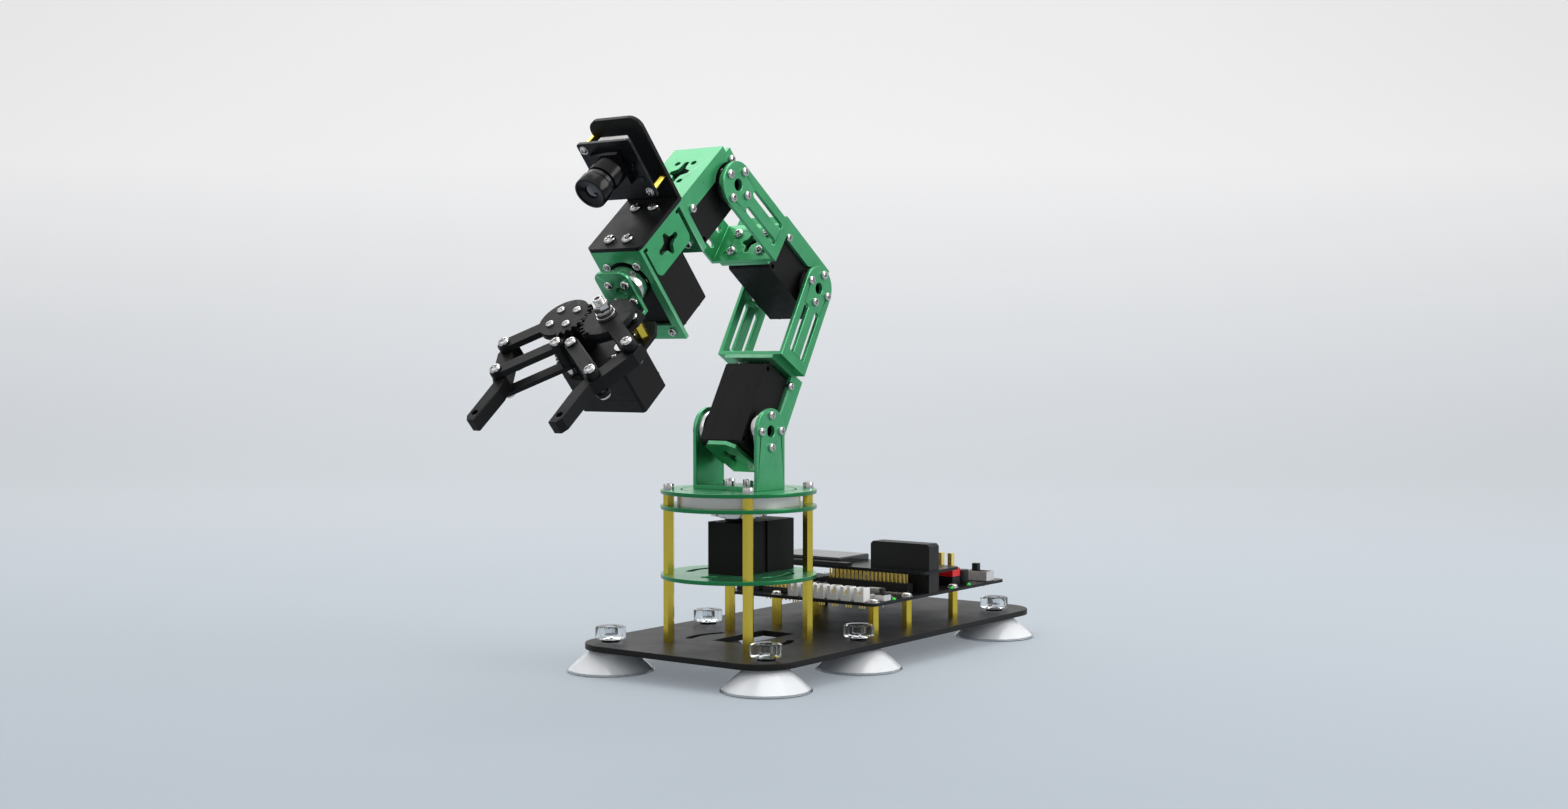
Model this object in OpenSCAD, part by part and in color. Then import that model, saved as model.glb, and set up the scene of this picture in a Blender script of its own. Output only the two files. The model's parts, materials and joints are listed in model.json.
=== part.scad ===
// Desktop robot arm: five servo joints and a geared gripper on a suction-footed plate.
// Frame: origin on the waist axis at bench level, +Z up, the arm reaches towards -Y.

/* [Stance] */
// Upper arm tilt from vertical, positive leans back (deg)
upper_tilt = 29.84; // [20:0.01:35]
// Forearm tilt from vertical, negative leans forward (deg)
fore_tilt = -54.64; // [-60:0.01:-45]
// Hand tilt from vertical (deg)
hand_tilt = -130.6; // [-135:0.1:-125]

/* [Links] */
// Distance between two joint axes (mm)
link_len = 82.85; // [80:0.05:90]
// Height of the shoulder axis above the bench (mm)
shoulder_z = 119.9; // [119.5:0.1:121]
// Sheet metal thickness (mm)
sheet = 2; // [2:0.1:2.2]
// Half width of a link bracket over its ears (mm)
ear_x = 20.24; // [20.24:0.02:21]
// Radius of a bracket's rounded ear (mm)
ear_r = 11.5; // [11:0.1:12]

/* [Servo] */
// Servo case length (mm)
servo_l = 45; // [44:0.5:46]
// Servo case width (mm)
servo_w = 22; // [21:0.5:22]
// Servo case thickness along the shaft (mm)
servo_t = 26; // [25:0.5:26]
// Shaft distance from the near end of the case (mm)
shaft_off = 12; // [11:0.5:12]
// Horn disc radius (mm)
horn_r = 10; // [9:0.1:10]
// Servo shaft radius (mm)
shaft_r = 3; // [2.5:0.1:3]

/* [Base] */
// Base plate width (mm)
plate_w = 124.8; // [120:0.2:130]
// Base plate front edge ahead of the waist axis (mm)
plate_front = 58; // [55:0.5:65]
// Base plate rear edge behind the waist axis (mm)
plate_back = 200; // [198:0.5:215]
// Base plate corner radius (mm)
plate_r = 20; // [10:1:24]
// Suction cup lip radius (mm)
cup_r = 22; // [20:0.5:23]
// Tower disc radius (mm)
disc_r = 39.2; // [38:0.1:42]
// Half spacing of the tower columns (mm)
col = 24.9; // [24:0.1:25]

/* [Gripper] */
// Gripper arm and link length between pivots (mm)
grip_len = 30; // [30:0.1:30.5]
// Half spacing of the two gear axes (mm)
gear_x = 13.2; // [13.2:0.1:13.4]
// Gear tooth count on a full circle
gear_teeth = 26; // [26:2:28]

/* [Hidden] */
$fn = 40;
e = 0.01;
sd = shaft_off; su = servo_l - shaft_off; sv = servo_w / 2; sx = servo_t / 2;
ear_in = ear_x - sheet;
plate_z = 11.5; top_z = 14.5;
S = [0, 0, shoulder_z];
E = [0, link_len * sin(upper_tilt), shoulder_z + link_len * cos(upper_tilt)];
W = [0, E[1] + link_len * sin(fore_tilt), E[2] + link_len * cos(fore_tilt)];
black = [0.06, 0.06, 0.065]; green = [0.1, 0.62, 0.32]; brass = [0.8, 0.62, 0.2]; steel = [0.75, 0.75, 0.76]; clear = [0.85, 0.9, 0.92];

// local frame at a joint: x across, y along the plane normal, z along the link
module at(P, a) { translate(P) rotate([-a, 0, 0]) children(); }
module arm_s() { at(S, upper_tilt) children(); }
module arm_e() { at(E, fore_tilt) children(); }
module arm_w() { at(W, hand_tilt) children(); }
module box(a, b) { translate(a) cube(b - a); }
module xcyl(r, x0, x1, y = 0, z = 0) { translate([x0, y, z]) rotate([0, 90, 0]) cylinder(r = r, h = x1 - x0); }
module ycyl(r, y0, y1, x = 0, z = 0) { translate([x, y0, z]) rotate([-90, 0, 0]) cylinder(r = r, h = y1 - y0); }
module zcyl(r, z0, z1, x = 0, y = 0) { translate([x, y, z0]) cylinder(r = r, h = z1 - z0); }
module rrect(x0, y0, x1, y1, r) {
  translate([x0 + r, y0]) square([x1 - x0 - 2 * r, y1 - y0]);
  translate([x0, y0 + r]) square([x1 - x0, y1 - y0 - 2 * r]);
  for (x = [x0 + r, x1 - r], y = [y0 + r, y1 - r]) translate([x, y]) circle(r);
}
// pan-head screw: head base at z = 0, head up, shank down by l
module pan(l, r = 1.45, hr = 2.6, hh = 1.9) {
  translate([0, 0, -l]) cylinder(r = r, h = l + 0.4);
  rotate_extrude() polygon([[0, 0], [hr, 0], [hr, hh * 0.45], [hr * 0.86, hh * 0.8], [hr * 0.55, hh], [0, hh]]);
}
// socket cap screw: head base at z = 0
module capscrew(l, r = 1.45, hr = 2.75, hh = 3) {
  translate([0, 0, -l]) cylinder(r = r, h = l + 0.4);
  difference() { cylinder(r = hr, h = hh); translate([0, 0, hh - 1.6]) cylinder(r = 1.45, h = 2, $fn = 6); }
}
// cross-shaped weight-saving cut-out, long arm along y, in the xy plane
module star2d(s = 1) {
  m = 6;
  polygon(concat(
    [for (q = [[1.6, 6.9], [1.6, 5.2], [2.3, 2.7], [5.8, 0.9], [5.8, -0.9], [2.3, -2.7], [1.6, -5.2], [1.6, -6.9]]) s * q],
    [for (i = [1:m - 1]) s * [1.6 * cos(180 * i / m), -6.9 - 1.6 * sin(180 * i / m)]],
    [for (q = [[-1.6, -6.9], [-1.6, -5.2], [-2.3, -2.7], [-5.8, -0.9], [-5.8, 0.9], [-2.3, 2.7], [-1.6, 5.2], [-1.6, 6.9]]) s * q],
    [for (i = [1:m - 1]) s * [-1.6 * cos(180 * i / m), 6.9 + 1.6 * sin(180 * i / m)]]));
}

// ---------- servo, shaft along x, case running up z ----------
module case_half(x0, x1, v, d, u) {
  difference() {
    box([x0, -v, -d], [x1, v, u]);
    for (y = [-v, v], z = [-d, u]) translate([(x0 + x1) / 2, y, z]) rotate([45, 0, 0]) cube([x1 - x0 + 2, 1.5, 1.5], center = true);
    box([-11, 2.4 - v, 11.5], [11, v - 2.4, u - 2]);
    box([-9.5, 2.4 - v, 3 - d], [9.5, v - 2.4, 11]);
    xcyl(shaft_r + 0.05, -20, 20);
  }
}
module servo_case(idler = true, v = sv, d = sd, u = su, h = sx) {
  color(black) {
    difference() { union() { case_half(-h, 6, v, d, u); if (idler) intersection() { xcyl(7, -h - 1.6, -h + 1); box([-30, -30, -30], [6, 30, 60]); } } xcyl(shaft_r + 0.05, -20, 20); 
      for (z = [3 - d, u - 2.5], y = [2 - v, v - 2]) xcyl(1.25, -h - 1, -h + 4.6, y, z); }
    difference() { union() { case_half(6, h, v, d, u); xcyl(7, h - 1, h + 1.6); } xcyl(shaft_r + 0.05, -20, 20);
      for (z = [3 - d, u - 2.5], y = [2 - v, v - 2]) xcyl(1.25, h - 4.6, h + 1, y, z); }
  }
}
module servo_motor(r = 8.4, z = 21.3) { color(steel) { difference() { xcyl(r, -11, 8, 0, z); } xcyl(3, 8, 11, 0, z); } }
// horn disc with its splined stub, on the +x side
module horn(x1 = ear_in, holes = true) {
  color(steel) difference() {
    union() { xcyl(horn_r, sx + 1.9, x1); xcyl(shaft_r, sx - 2.6, sx + 2); }
    if (holes) for (a = [0, 90, 180, 270]) rotate([a, 0, 0]) xcyl(1.25, sx, x1 + 1, 0, 8);
    xcyl(2.9, sx + 3, x1 + 1);
  }
}
module horns() { horn(); mirror([1, 0, 0]) horn(); }
module ear_screws() { color(steel) for (m = [0, 1]) mirror([m, 0, 0]) for (a = [0, 90, 180, 270]) rotate([a, 0, 0]) translate([ear_x, 0, 8]) rotate([0, 90, 0]) pan(4.2, 1.2, 2.3, 1.7); }

// ---------- link bracket from a cage's end wall to the next axis ----------
module ear_profile(u0) { // drawn in y,z of the link
  difference() {
    union() { translate([-ear_r, u0]) square([2 * ear_r, link_len - u0]); translate([0, link_len]) circle(ear_r, $fn = 64); }
    translate([0, link_len]) { circle(3); for (a = [0, 90, 180, 270]) rotate(a) translate([8, 0]) circle(1.3); }
    for (y = [-4.9, 4.9]) { translate([y - 1.75, 45]) square([3.5, 24.3]); for (z = [45, 69.3]) translate([y, z]) circle(1.75); }
  }
}
module yz_plate(x0, x1) { translate([x0, 0, 0]) rotate([90, 0, 90]) linear_extrude(x1 - x0) children(); }
module link_bracket() {
  color(green) {
    difference() {
      union() {
        yz_plate(ear_in, ear_x) ear_profile(37.5);
        yz_plate(-ear_x, -ear_in) ear_profile(37.5);
        box([-ear_x, -ear_r, 37.5], [ear_x, ear_r, 37.5 + sheet]);
      }
      translate([0, 0, 37]) linear_extrude(3) star2d(0.75);
      for (x = [-9, 9], y = [-5.6, 5.6]) zcyl(1.6, 37, 40, x, y);
    }
  }
}
module link_base_screws() { color(steel) for (x = [-9, 9], y = [-5.6, 5.6]) translate([x, y, 37.5 + sheet]) pan(3.9, 1.45, 2.6, 1.9); }

// ---------- servo cage, sheet wrapped round one side of a servo ----------
module cage_strip2d() { // y,z
  difference() {
    translate([8, -12]) square([9.5, 47.5 + 0]);
    circle(11.4, $fn = 48);
    translate([9, -9]) circle(1.3); translate([9, 30.5]) circle(1.3);
  }
}
module cage(z1 = 35.5, foot = false, stars = false) {
  color(green) difference() {
    union() {
      for (m = [0, 1]) mirror([m, 0, 0]) yz_plate(sx, sx + sheet) difference() { cage_strip2d(); translate([0, z1]) square([30, 30]); translate([14, -14]) rotate(0) square([8, 6]); }
      box([-sx - sheet, 15.5, -8], [sx + sheet, 17.5, z1]);
      box([-sx - sheet, -ear_r, z1], [sx + sheet, 17.5, z1 + sheet]);
      if (foot) { box([-9.3, 15.5, -14.5], [9.3, 17.5, -7]); 
        translate([0, 0, -14.5]) linear_extrude(sheet) polygon([[-9.3, 17.5], [-9.3, -9], [-5.5, -12.7], [5.5, -12.7], [9.3, -9], [9.3, 17.5]]); }
    }
    for (x = [-9, 9], y = [-5.6, 5.6]) zcyl(1.5, z1 - 1, z1 + 3, x, y);
    zcyl(4, z1 - 1, z1 + 3);
    if (foot) translate([0, 0, -15]) linear_extrude(3) star2d(0.7);
    if (stars) { ycyl(1.6, 15, 18, -5.5, 4.5); ycyl(1.6, 15, 18, 4.5, 4.5); ycyl(1.6, 15, 18, 4.5, 19); ycyl(1.6, 15, 18, -5.5, 19);
      translate([0, 15, 11.8]) rotate([-90, 0, 0]) linear_extrude(3) star2d(1.0); }
  }
}
module cage_screws() { color(steel) for (m = [0, 1]) mirror([m, 0, 0]) for (z = [-9, 30.5]) translate([sx + sheet, 9, z]) rotate([0, 90, 0]) pan(4.5, 1.2, 2.2, 1.7); }

// ================= base =================
// curved slot, round at both ends
module slot_arc2d(r, w, a0, a1) {
  function P(a, q) = q * [cos(a), sin(a)];
  h = w / 2; n = 14; m = 7;
  polygon(concat(
    [for (i = [0:n]) P(a0 + (a1 - a0) * i / n, r + h)],
    [for (i = [1:m - 1]) P(a1, r) + h * [cos(a1 + 180 * i / m), sin(a1 + 180 * i / m)]],
    [for (i = [0:n]) P(a1 + (a0 - a1) * i / n, r - h)],
    [for (i = [1:m - 1]) P(a0, r) + h * [cos(a0 + 180 + 180 * i / m), sin(a0 + 180 + 180 * i / m)]]));
}
cups = [for (x = [-48.5, 48.5], y = [-42, 36, 172]) [x, y]];
posts = [[44.6, 55.5], [-16, 54], [44, 88], [-22, 98], [44.5, 134], [-43, 136]];
module base_plate() {
  color(black) translate([0, 0, plate_z]) linear_extrude(top_z - plate_z) difference() {
    rrect(-plate_w / 2, -plate_front, plate_w / 2, plate_back, plate_r);
    translate([-10, -9]) square([20, 43]);
    for (m = [0, 1]) mirror([m, 0]) slot_arc2d(26, 4, -22, 32);
    for (p = cups) translate(p) circle(4.6);
    for (x = [-col, col], y = [-col, col]) translate([x, y]) circle(1.65);
    for (p = posts) translate(p) circle(1.65);
  }
}
module suction_cups() {
  color(clear) for (p = cups) translate([p[0], p[1], 0]) difference() {
    rotate_extrude($fn = 64) polygon([[0, 7.5], [8, 6.2], [15, 3.6], [21, 0], [22, 0], [22, 0.5], [16.5, 5.6], [10.8, 10.6], [9.5, 11.5], [4.55, 11.5], [4.55, 16.2], [7, 16.2], [7.65, 16.8], [7.65, 21.6], [7, 22.2], [3, 22.2], [3, 18], [0, 18]]);
    for (a = [0:45:315]) rotate(a) translate([8.1, 0, 14.8]) cylinder(r = 0.9, h = 8, $fn = 16);
  }
}
module base_screws() {
  color(steel) {
    for (x = [-col, col], y = [-col, col]) { translate([x, y, plate_z]) mirror([0, 0, 1]) pan(9); translate([x, y, 90.6]) capscrew(5); }
    for (p = posts) { translate([p[0], p[1], plate_z]) mirror([0, 0, 1]) pan(8); translate([p[0], p[1], 31]) pan(5); }
    for (x = [-9, 9], y = [-9, 30.5]) translate([x, y, 46.4]) mirror([0, 0, 1]) pan(5, 1.2, 2.3, 1.7);
  }
}
module hexpost(z0, z1, stud) {
  difference() {
    union() { translate([0, 0, z0]) cylinder(r = 2.9, h = z1 - z0, $fn = 6); if (stud > 0) translate([0, 0, z1 - 1]) cylinder(r = 1.5, h = stud + 1); }
    translate([0, 0, z0 - 1]) cylinder(r = 1.52, h = min(8, (z1 - z0) - 1.2) + 1);
    if (stud == 0) translate([0, 0, z0 - 1]) cylinder(r = 1.52, h = z1 - z0 + 2);
  }
}
module brass_standoffs() {
  color(brass) {
    for (x = [-col, col], y = [-col, col]) translate([x, y, 0]) {
      difference() { hexpost(top_z, 46.4, 6); }
      hexpost(48.4, 80.9, 4);
      difference() { translate([0, 0, 82.9]) cylinder(r = 2.9, h = 5.7, $fn = 6); translate([0, 0, 82]) cylinder(r = 1.52, h = 8); }
    }
    for (p = posts) translate([p[0], p[1], 0]) hexpost(top_z, 29.4, 0);
  }
}
module disc2d() {
  difference() {
    circle(disc_r, $fn = 128);
    for (x = [-col, col], y = [-col, col]) translate([x, y]) circle(1.65);
  }
}
module tower_discs() {
  color(green) {
    translate([0, 0, 46.4]) linear_extrude(2) difference() {
      disc2d();
      for (m = [0, 1]) mirror([m, 0]) slot_arc2d(26, 4, -22, 32);
      translate([0, -24]) circle(4); 
      for (x = [-9, 9], y = [-9, 30.5]) translate([x, y]) circle(1.3);
    }
    translate([0, 0, 80.9]) linear_extrude(2) difference() { disc2d(); circle(13); }
    translate([0, 0, 88.6]) linear_extrude(2) difference() { disc2d(); circle(29.2, $fn = 96); }
  }
}
// outer race and its ring of balls
module table_bearing() {
  color(steel) {
    rotate_extrude($fn = 96) difference() { union() { translate([27.2, 82.9]) square([3.8, 5.3]); translate([29.4, 82.9]) square([1.6, 5.7]); } translate([26, 85.8]) circle(2, $fn = 32); }
    for (a = [0:15:345]) rotate(a) translate([26, 0, 85.8]) sphere(1.93, $fn = 24);
  }
}
// waist servo stands under the turntable with its shaft up
module waist_tf() { translate([0, 0, 61.4]) multmatrix([[0, 1, 0, 0], [0, 0, 1, 0], [1, 0, 0, 0], [0, 0, 0, 1]]) children(); }
module waist_servo_case() { // a shallow channel runs down both long sides
  waist_tf() color(black) difference() { servo_case(false); for (m = [0, 1]) mirror([0, m, 0]) box([-sx - 1, sv - 1, 6], [sx + 1, sv + 1, 9.4]); }
}
module waist_servo_motor() { waist_tf() servo_motor(); }
module waist_horn() {
  color(steel) difference() {
    union() { zcyl(horn_r, 76.3, 84); zcyl(14.2, 77.4, 80.4); zcyl(shaft_r, 71.8, 77); }
    for (a = [0, 90, 180, 270]) rotate(a) zcyl(1.25, 79, 85, 7, 0);
  }
}
module turntable() { // inner race and table in one turned piece
  color(steel) difference() {
    union() {
      rotate_extrude($fn = 96) difference() { translate([20, 83.3]) square([4.8, 5.3]); translate([26, 85.8]) circle(2, $fn = 32); }
      zcyl(22, 84, 88.6);
    }
    for (a = [0, 90, 180, 270]) rotate(a) { zcyl(1.5, 83, 89, 7, 0); zcyl(1.3, 83, 89, 12.5, 0); }
  }
}
module turntable_disc() {
  color(green) difference() { translate([0, 0, 88.6]) cylinder(r = 28.4, h = 2, $fn = 96);
    for (a = [0, 90, 180, 270]) rotate(a) { zcyl(1.5, 88, 91, 7, 0); zcyl(1.5, 88, 91, 12.5, 0); } }
}

// ================= electronics =================
module circuit_boards() {
  color([0.05, 0.05, 0.06]) {
    translate([0, 0, 29.4]) linear_extrude(1.6) difference() { rrect(-49, 50, 48.5, 184, 3); for (p = posts) translate(p) circle(1.65); }
    translate([0, 0, 41.2]) linear_extrude(1.6) difference() { rrect(-58, 96.5, 49, 134, 3); for (y = [100.5, 130]) translate([-54, y]) circle(1.4); }
  }
}
module servo_sockets() { color([0.93, 0.93, 0.9]) for (i = [0:5]) translate([-6.9 + i * 8.4, 51.2, 31]) difference() { cube([6, 6, 7.2]); translate([0.8, 0.8, 1.2]) cube([4.4, 4.4, 8]); translate([2, -1, 3.4]) cube([2, 3, 5]); } }
module board_parts() {
  color(black) {
    difference() { box([-11.5, 94.2, 31], [40.5, 99.4, 36.4]); }
    box([-52, 97.4, 42.8], [-1, 102.6, 44.4]);
    difference() { box([11, 103.2, 42.8], [48.3, 113, 57]); box([14, 111, 46], [45.3, 114, 54]); for (x = [11, 48.3]) translate([x, 100, 57]) rotate([0, 45, 0]) box([-1, 0, -1], [1, 20, 1]); }
    box([11, 103.2, 31], [48.3, 113, 41.2]);
    difference() { box([33, 166, 31], [47, 174, 36.4]); box([35.9, 168.1, 33.4], [44.1, 171.9, 37]); }
    difference() { union() { box([28.4, 138, 31], [41.9, 146, 36]); box([28.4, 135.2, 31], [33.4, 138, 35.6]); } for (x = [32, 38.4]) box([x - 1.3, 140.3, 32], [x + 1.3, 143.7, 43]); }
    zcyl(3.3, 31, 39, 41, 150.2);
    box([41.5, 60.5, 31], [47.5, 66.5, 35]); zcyl(1.6, 35, 37.4, 44.5, 63.5);
    box([-28, 57.4, 31], [-9.4, 65.2, 34]); box([-46, 58, 31], [-31, 66, 38]); box([-46, 112, 31], [-30, 130, 33.2]);
    zcyl(3.2, 31, 38.5, -44, 152); box([-6, 120, 31], [12, 138, 32.6]);
  }
}
module power_plug() { color([0.75, 0.05, 0.05]) difference() { box([28.4, 138, 36], [41.9, 146, 40.6]); for (x = [32, 38.4]) box([x - 1.3, 140.3, 32], [x + 1.3, 143.7, 43]); } }
module header_pins() {
  color(brass) {
    for (i = [0:19], j = [0, 1]) translate([-10.2 + i * 2.54 - 0.32, 95.3 + j * 2.54 - 0.32, 36.4]) cube([0.64, 0.64, 4.8]);
    for (i = [0:6], j = [0:2]) translate([-26.3 + i * 2.54 - 0.32, 58.8 + j * 2.54 - 0.32, 34]) cube([0.64, 0.64, 7]);
    for (i = [0:6]) translate([-26.3 + i * 2.54 - 0.32, 58.8 - 0.32, 27.4]) cube([0.64, 0.64, 2]);
    for (i = [0:5], k = [-1.5, 0, 1.5], z = [27.4, 32.2]) translate([-3.9 + i * 8.4 + k - 0.3, 53.9, z]) cube([0.6, 0.6, z < 30 ? 2 : 4]);
    for (x = [32, 38.4]) box([x - 1.25, 140.4, 32], [x + 1.25, 143.6, 48.6]);
  }
}
module computer_module() { color([0.1, 0.1, 0.11]) { difference() { box([-57, 104, 42.8], [-10, 133, 46.2]); for (x = [-57, -10]) translate([x, 100, 46.2]) rotate([0, 45, 0]) box([-0.5, 0, -0.5], [0.5, 40, 0.5]); box([-53, 100, 42], [-14, 106, 44]); } } }
module power_switch_slider() { color(black) { box([36.2, 168.4, 33.8], [39.8, 171.6, 40.6]); } }

// ================= waist body =================
module shoulder_bracket() {
  color(green) difference() {
    union() {
      for (m = [0, 1]) mirror([m, 0, 0]) yz_plate(ear_in, ear_x) difference() {
        union() { translate([-ear_r, 90.6]) square([2 * ear_r, shoulder_z - 90.6]); translate([0, shoulder_z]) circle(ear_r, $fn = 64); }
        translate([0, shoulder_z]) { circle(3); for (a = [0, 90, 180, 270]) rotate(a) translate([8, 0]) circle(1.3); }
      }
      box([-ear_x, -ear_r, 90.6], [ear_x, ear_r, 92.6]);
    }
    for (a = [0, 90, 180, 270]) rotate(a) zcyl(1.5, 90, 93, 7, 0);
    for (x = [-12.5, 12.5]) zcyl(2.9, 90, 93, x, 0);
  }
}
module shoulder_screws() {
  color(steel) {
    translate([0, 0, shoulder_z]) ear_screws_plain();
    for (a = [0, 90, 180, 270]) rotate(a) { translate([7, 0, 92.6]) capscrew(13.2, 1.2, 2.2, 2.4); }
    for (a = [0, 180]) rotate(a) translate([12.5, 0, 90.6]) pan(6, 1.28, 2.4, 1.6);
  }
}
module ear_screws_plain() { for (m = [0, 1]) mirror([m, 0, 0]) for (a = [0, 90, 180, 270]) rotate([a, 0, 0]) translate([ear_x, 0, 8]) rotate([0, 90, 0]) pan(4.2, 1.2, 2.3, 1.7); }
module shoulder_horns() { translate(S) horns(); }

// ================= upper arm =================
module shoulder_servo_case() { arm_s() servo_case(); }
module shoulder_servo_motor() { arm_s() servo_motor(); }
module shoulder_cage() { arm_s() cage(foot = true); }
module upper_arm_link() { arm_s() link_bracket(); }
module upper_arm_screws() { arm_s() { cage_screws(); link_base_screws(); translate([0, 0, link_len]) ear_screws(); } }
module elbow_horns() { arm_s() translate([0, 0, link_len]) horns(); }

// ================= forearm =================
module elbow_servo_case() { arm_e() servo_case(); }
module elbow_servo_motor() { arm_e() servo_motor(); }
module elbow_cage() { arm_e() cage(); }
module forearm_link() { arm_e() link_bracket(); }
module forearm_screws() { arm_e() { cage_screws(); link_base_screws(); translate([0, 0, link_len]) ear_screws(); } }
module wrist_horns() { arm_e() translate([0, 0, link_len]) horns(); }

// ================= hand: x across, y towards the camera, z forwards =================
module wrist_servo_case() { arm_w() servo_case(); }
module wrist_cage() { arm_w() cage(z1 = 33.5, stars = true); }
module roll_tf() { translate([0, 0, 58.5]) multmatrix([[0, 1, 0, 0], [0, 0, -1, 0], [1, 0, 0, 0], [0, 0, 0, 1]]) children(); }
module roll_servo_case() { arm_w() roll_tf() servo_case(false); }
module wrist_motors() { arm_w() { servo_motor(); roll_tf() servo_motor(); } }
module roll_bracket() {
  arm_w() color(green) difference() {
    union() {
      box([-15, 15.5, 35.5], [15, 17.5, 73.5]);
      difference() { box([-15, -35, 71.5], [15, 17.5, 73.5]); zcyl(11.2, 70, 75); box([-11.4, -26.8, 70], [10.4, 0, 75]); box([-16, -27, 70], [-9, 6, 75]); }
      box([-15, -11.5, 35.5], [15, 17.5, 37.5]);
      for (m = [0, 1]) mirror([m, 0, 0]) yz_plate(13, 15) difference() {
        union() { translate([2, 40]) square([15.5, 30]); translate([-1.6, 43.6]) square([4, 22.8]); for (z = [43.6, 66.4]) translate([2, z]) circle(3.6); }
        for (z = [39, 68.6]) translate([13.6, z]) square([1.9, 2.4]);
        translate([7.2, 55]) rotate(0) star2d(0.95);
      }
    }
    for (x = [-9, 9], y = [-5.6, 5.6]) zcyl(1.6, 35, 38, x, y);
    for (x = [-9, 9]) { zcyl(1.3, 71, 74, x, 9); zcyl(1.3, 71, 74, x, -30.5); }
    for (x = [-5.4, 5.4], z = [43.2, 67.6]) ycyl(1.5, 15, 18, x, z);
  }
}
module wrist_screws() {
  arm_w() color(steel) {
    cage_screws_plain();
    for (x = [-9, 9], y = [-5.6, 5.6]) translate([x, y, 37.5]) pan(3.9);
    for (x = [-9, 9], y = [9, -30.5]) translate([x, y, 73.5]) pan(6, 1.2, 2.2, 1.6);
    for (x = [-5.4, 5.4], z = [43.2, 67.6]) translate([x, 19.5, z]) rotate([-90, 0, 0]) pan(4.6, 1.45, 2.9, 2);
    for (p = cam_posts) translate([p[0], p[1], 48]) pan(3, 0.9, 1.7, 1.2);
  }
}
module cage_screws_plain() { for (m = [0, 1]) mirror([m, 0, 0]) for (z = [-9, 30.5]) translate([sx + sheet, 9, z]) rotate([0, 90, 0]) pan(4.5, 1.2, 2.2, 1.7); }
cam_posts = [[-13, 57], [13, 32]];
module camera_bracket() {
  arm_w() color(black) difference() {
    union() {
      translate([0, 17.5, 0]) rotate([-90, 0, 0]) mirror([0, 1, 0]) linear_extrude(2) rrect(-16, 34, 16, 73.8, 2.4);
      translate([0, 0, 34]) linear_extrude(2) union() { translate([-15.5, 17.5]) square([31, 41]); translate([-9.5, 17.5]) square([19, 47.3]); for (x = [-9.5, 9.5]) translate([x, 58.8]) circle(6); }
    }
    for (x = [-5.4, 5.4], z = [43.2, 67.6]) ycyl(1.6, 17, 20, x, z);
    for (p = cam_posts) zcyl(1.1, 33, 37, p[0], p[1]);
  }
}
module camera_board() {
  arm_w() {
    color([0.04, 0.05, 0.05]) difference() { translate([0, 0, 46.4]) linear_extrude(1.6) rrect(-16, 28.6, 16, 60.6, 1.5); for (p = cam_posts) zcyl(1.1, 46, 49, p[0], p[1]); }
    color([0.92, 0.92, 0.9]) difference() { box([-7, 53.6, 40.4], [9, 58.2, 46.4]); box([-6, 54.6, 39], [8, 57.2, 45]); }
  }
}
module camera_standoffs() { arm_w() color(brass) for (p = cam_posts) translate([p[0], p[1], 0]) difference() { union() { translate([0, 0, 36]) cylinder(r = 1.75, h = 10.4, $fn = 6); zcyl(1, 34.2, 37); } zcyl(0.95, 41, 47); } }
module lens_holder() { arm_w() color(black) difference() { union() { box([-8.5, 39, 48], [8.5, 56, 52]); zcyl(7.6, 51, 59.4, 0, 47.5); for (x = [-10.5, 10.5]) zcyl(2.2, 48, 49.6, x, 47.5); box([-10.5, 45.3, 48], [10.5, 49.7, 49.6]); } zcyl(6.05, 49.2, 60, 0, 47.5); } }
module lens_barrel() { arm_w() color(black) difference() { union() { zcyl(6, 51.6, 60.6, 0, 47.5); zcyl(8, 60.2, 69.8, 0, 47.5); } zcyl(6.2, 68.4, 71, 0, 47.5); zcyl(3.4, 67.6, 71, 0, 47.5); zcyl(4.6, 51, 54, 0, 47.5); } }

// ================= gripper, all in the hand frame =================
gz = 108.4; pz = 127; px = 4.64;
lp0 = -12.5; lp1 = -10.5; tp0 = -1; tp1 = 1; g0 = 4.5; g1 = 7.5; l0 = -6; l1 = -4;
ga = 52.5;
module roll_horn() { arm_w() color(steel) difference() { union() { zcyl(horn_r, 73.4, 80); zcyl(shaft_r, 69, 74); } for (a = [45, 135, 225, 315]) rotate(a) zcyl(1.25, 76.5, 81, 7, 0); } }
module gripper_mount() {
  arm_w() color(green) difference() {
    union() {
      translate([0, 0, 80]) linear_extrude(2) union() { rrect(-12, -6, 8, 11.5, 4.5); translate([-12, -12.5]) square([20, 12]); }
      box([-12, -12.5, 80], [8, -10.5, 90]);
    }
    for (a = [45, 135, 225, 315]) rotate(a) zcyl(1.3, 79, 83, 7, 0);
    zcyl(3, 79, 83);
    for (x = [-8, 3.5]) ycyl(1.5, -13, -10, x, 85.5);
  }
}
fposts = [[20.4, 101.8], [11, 94]];
under = [[21.3, 114.2], [14.8, 133.6]];
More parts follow.
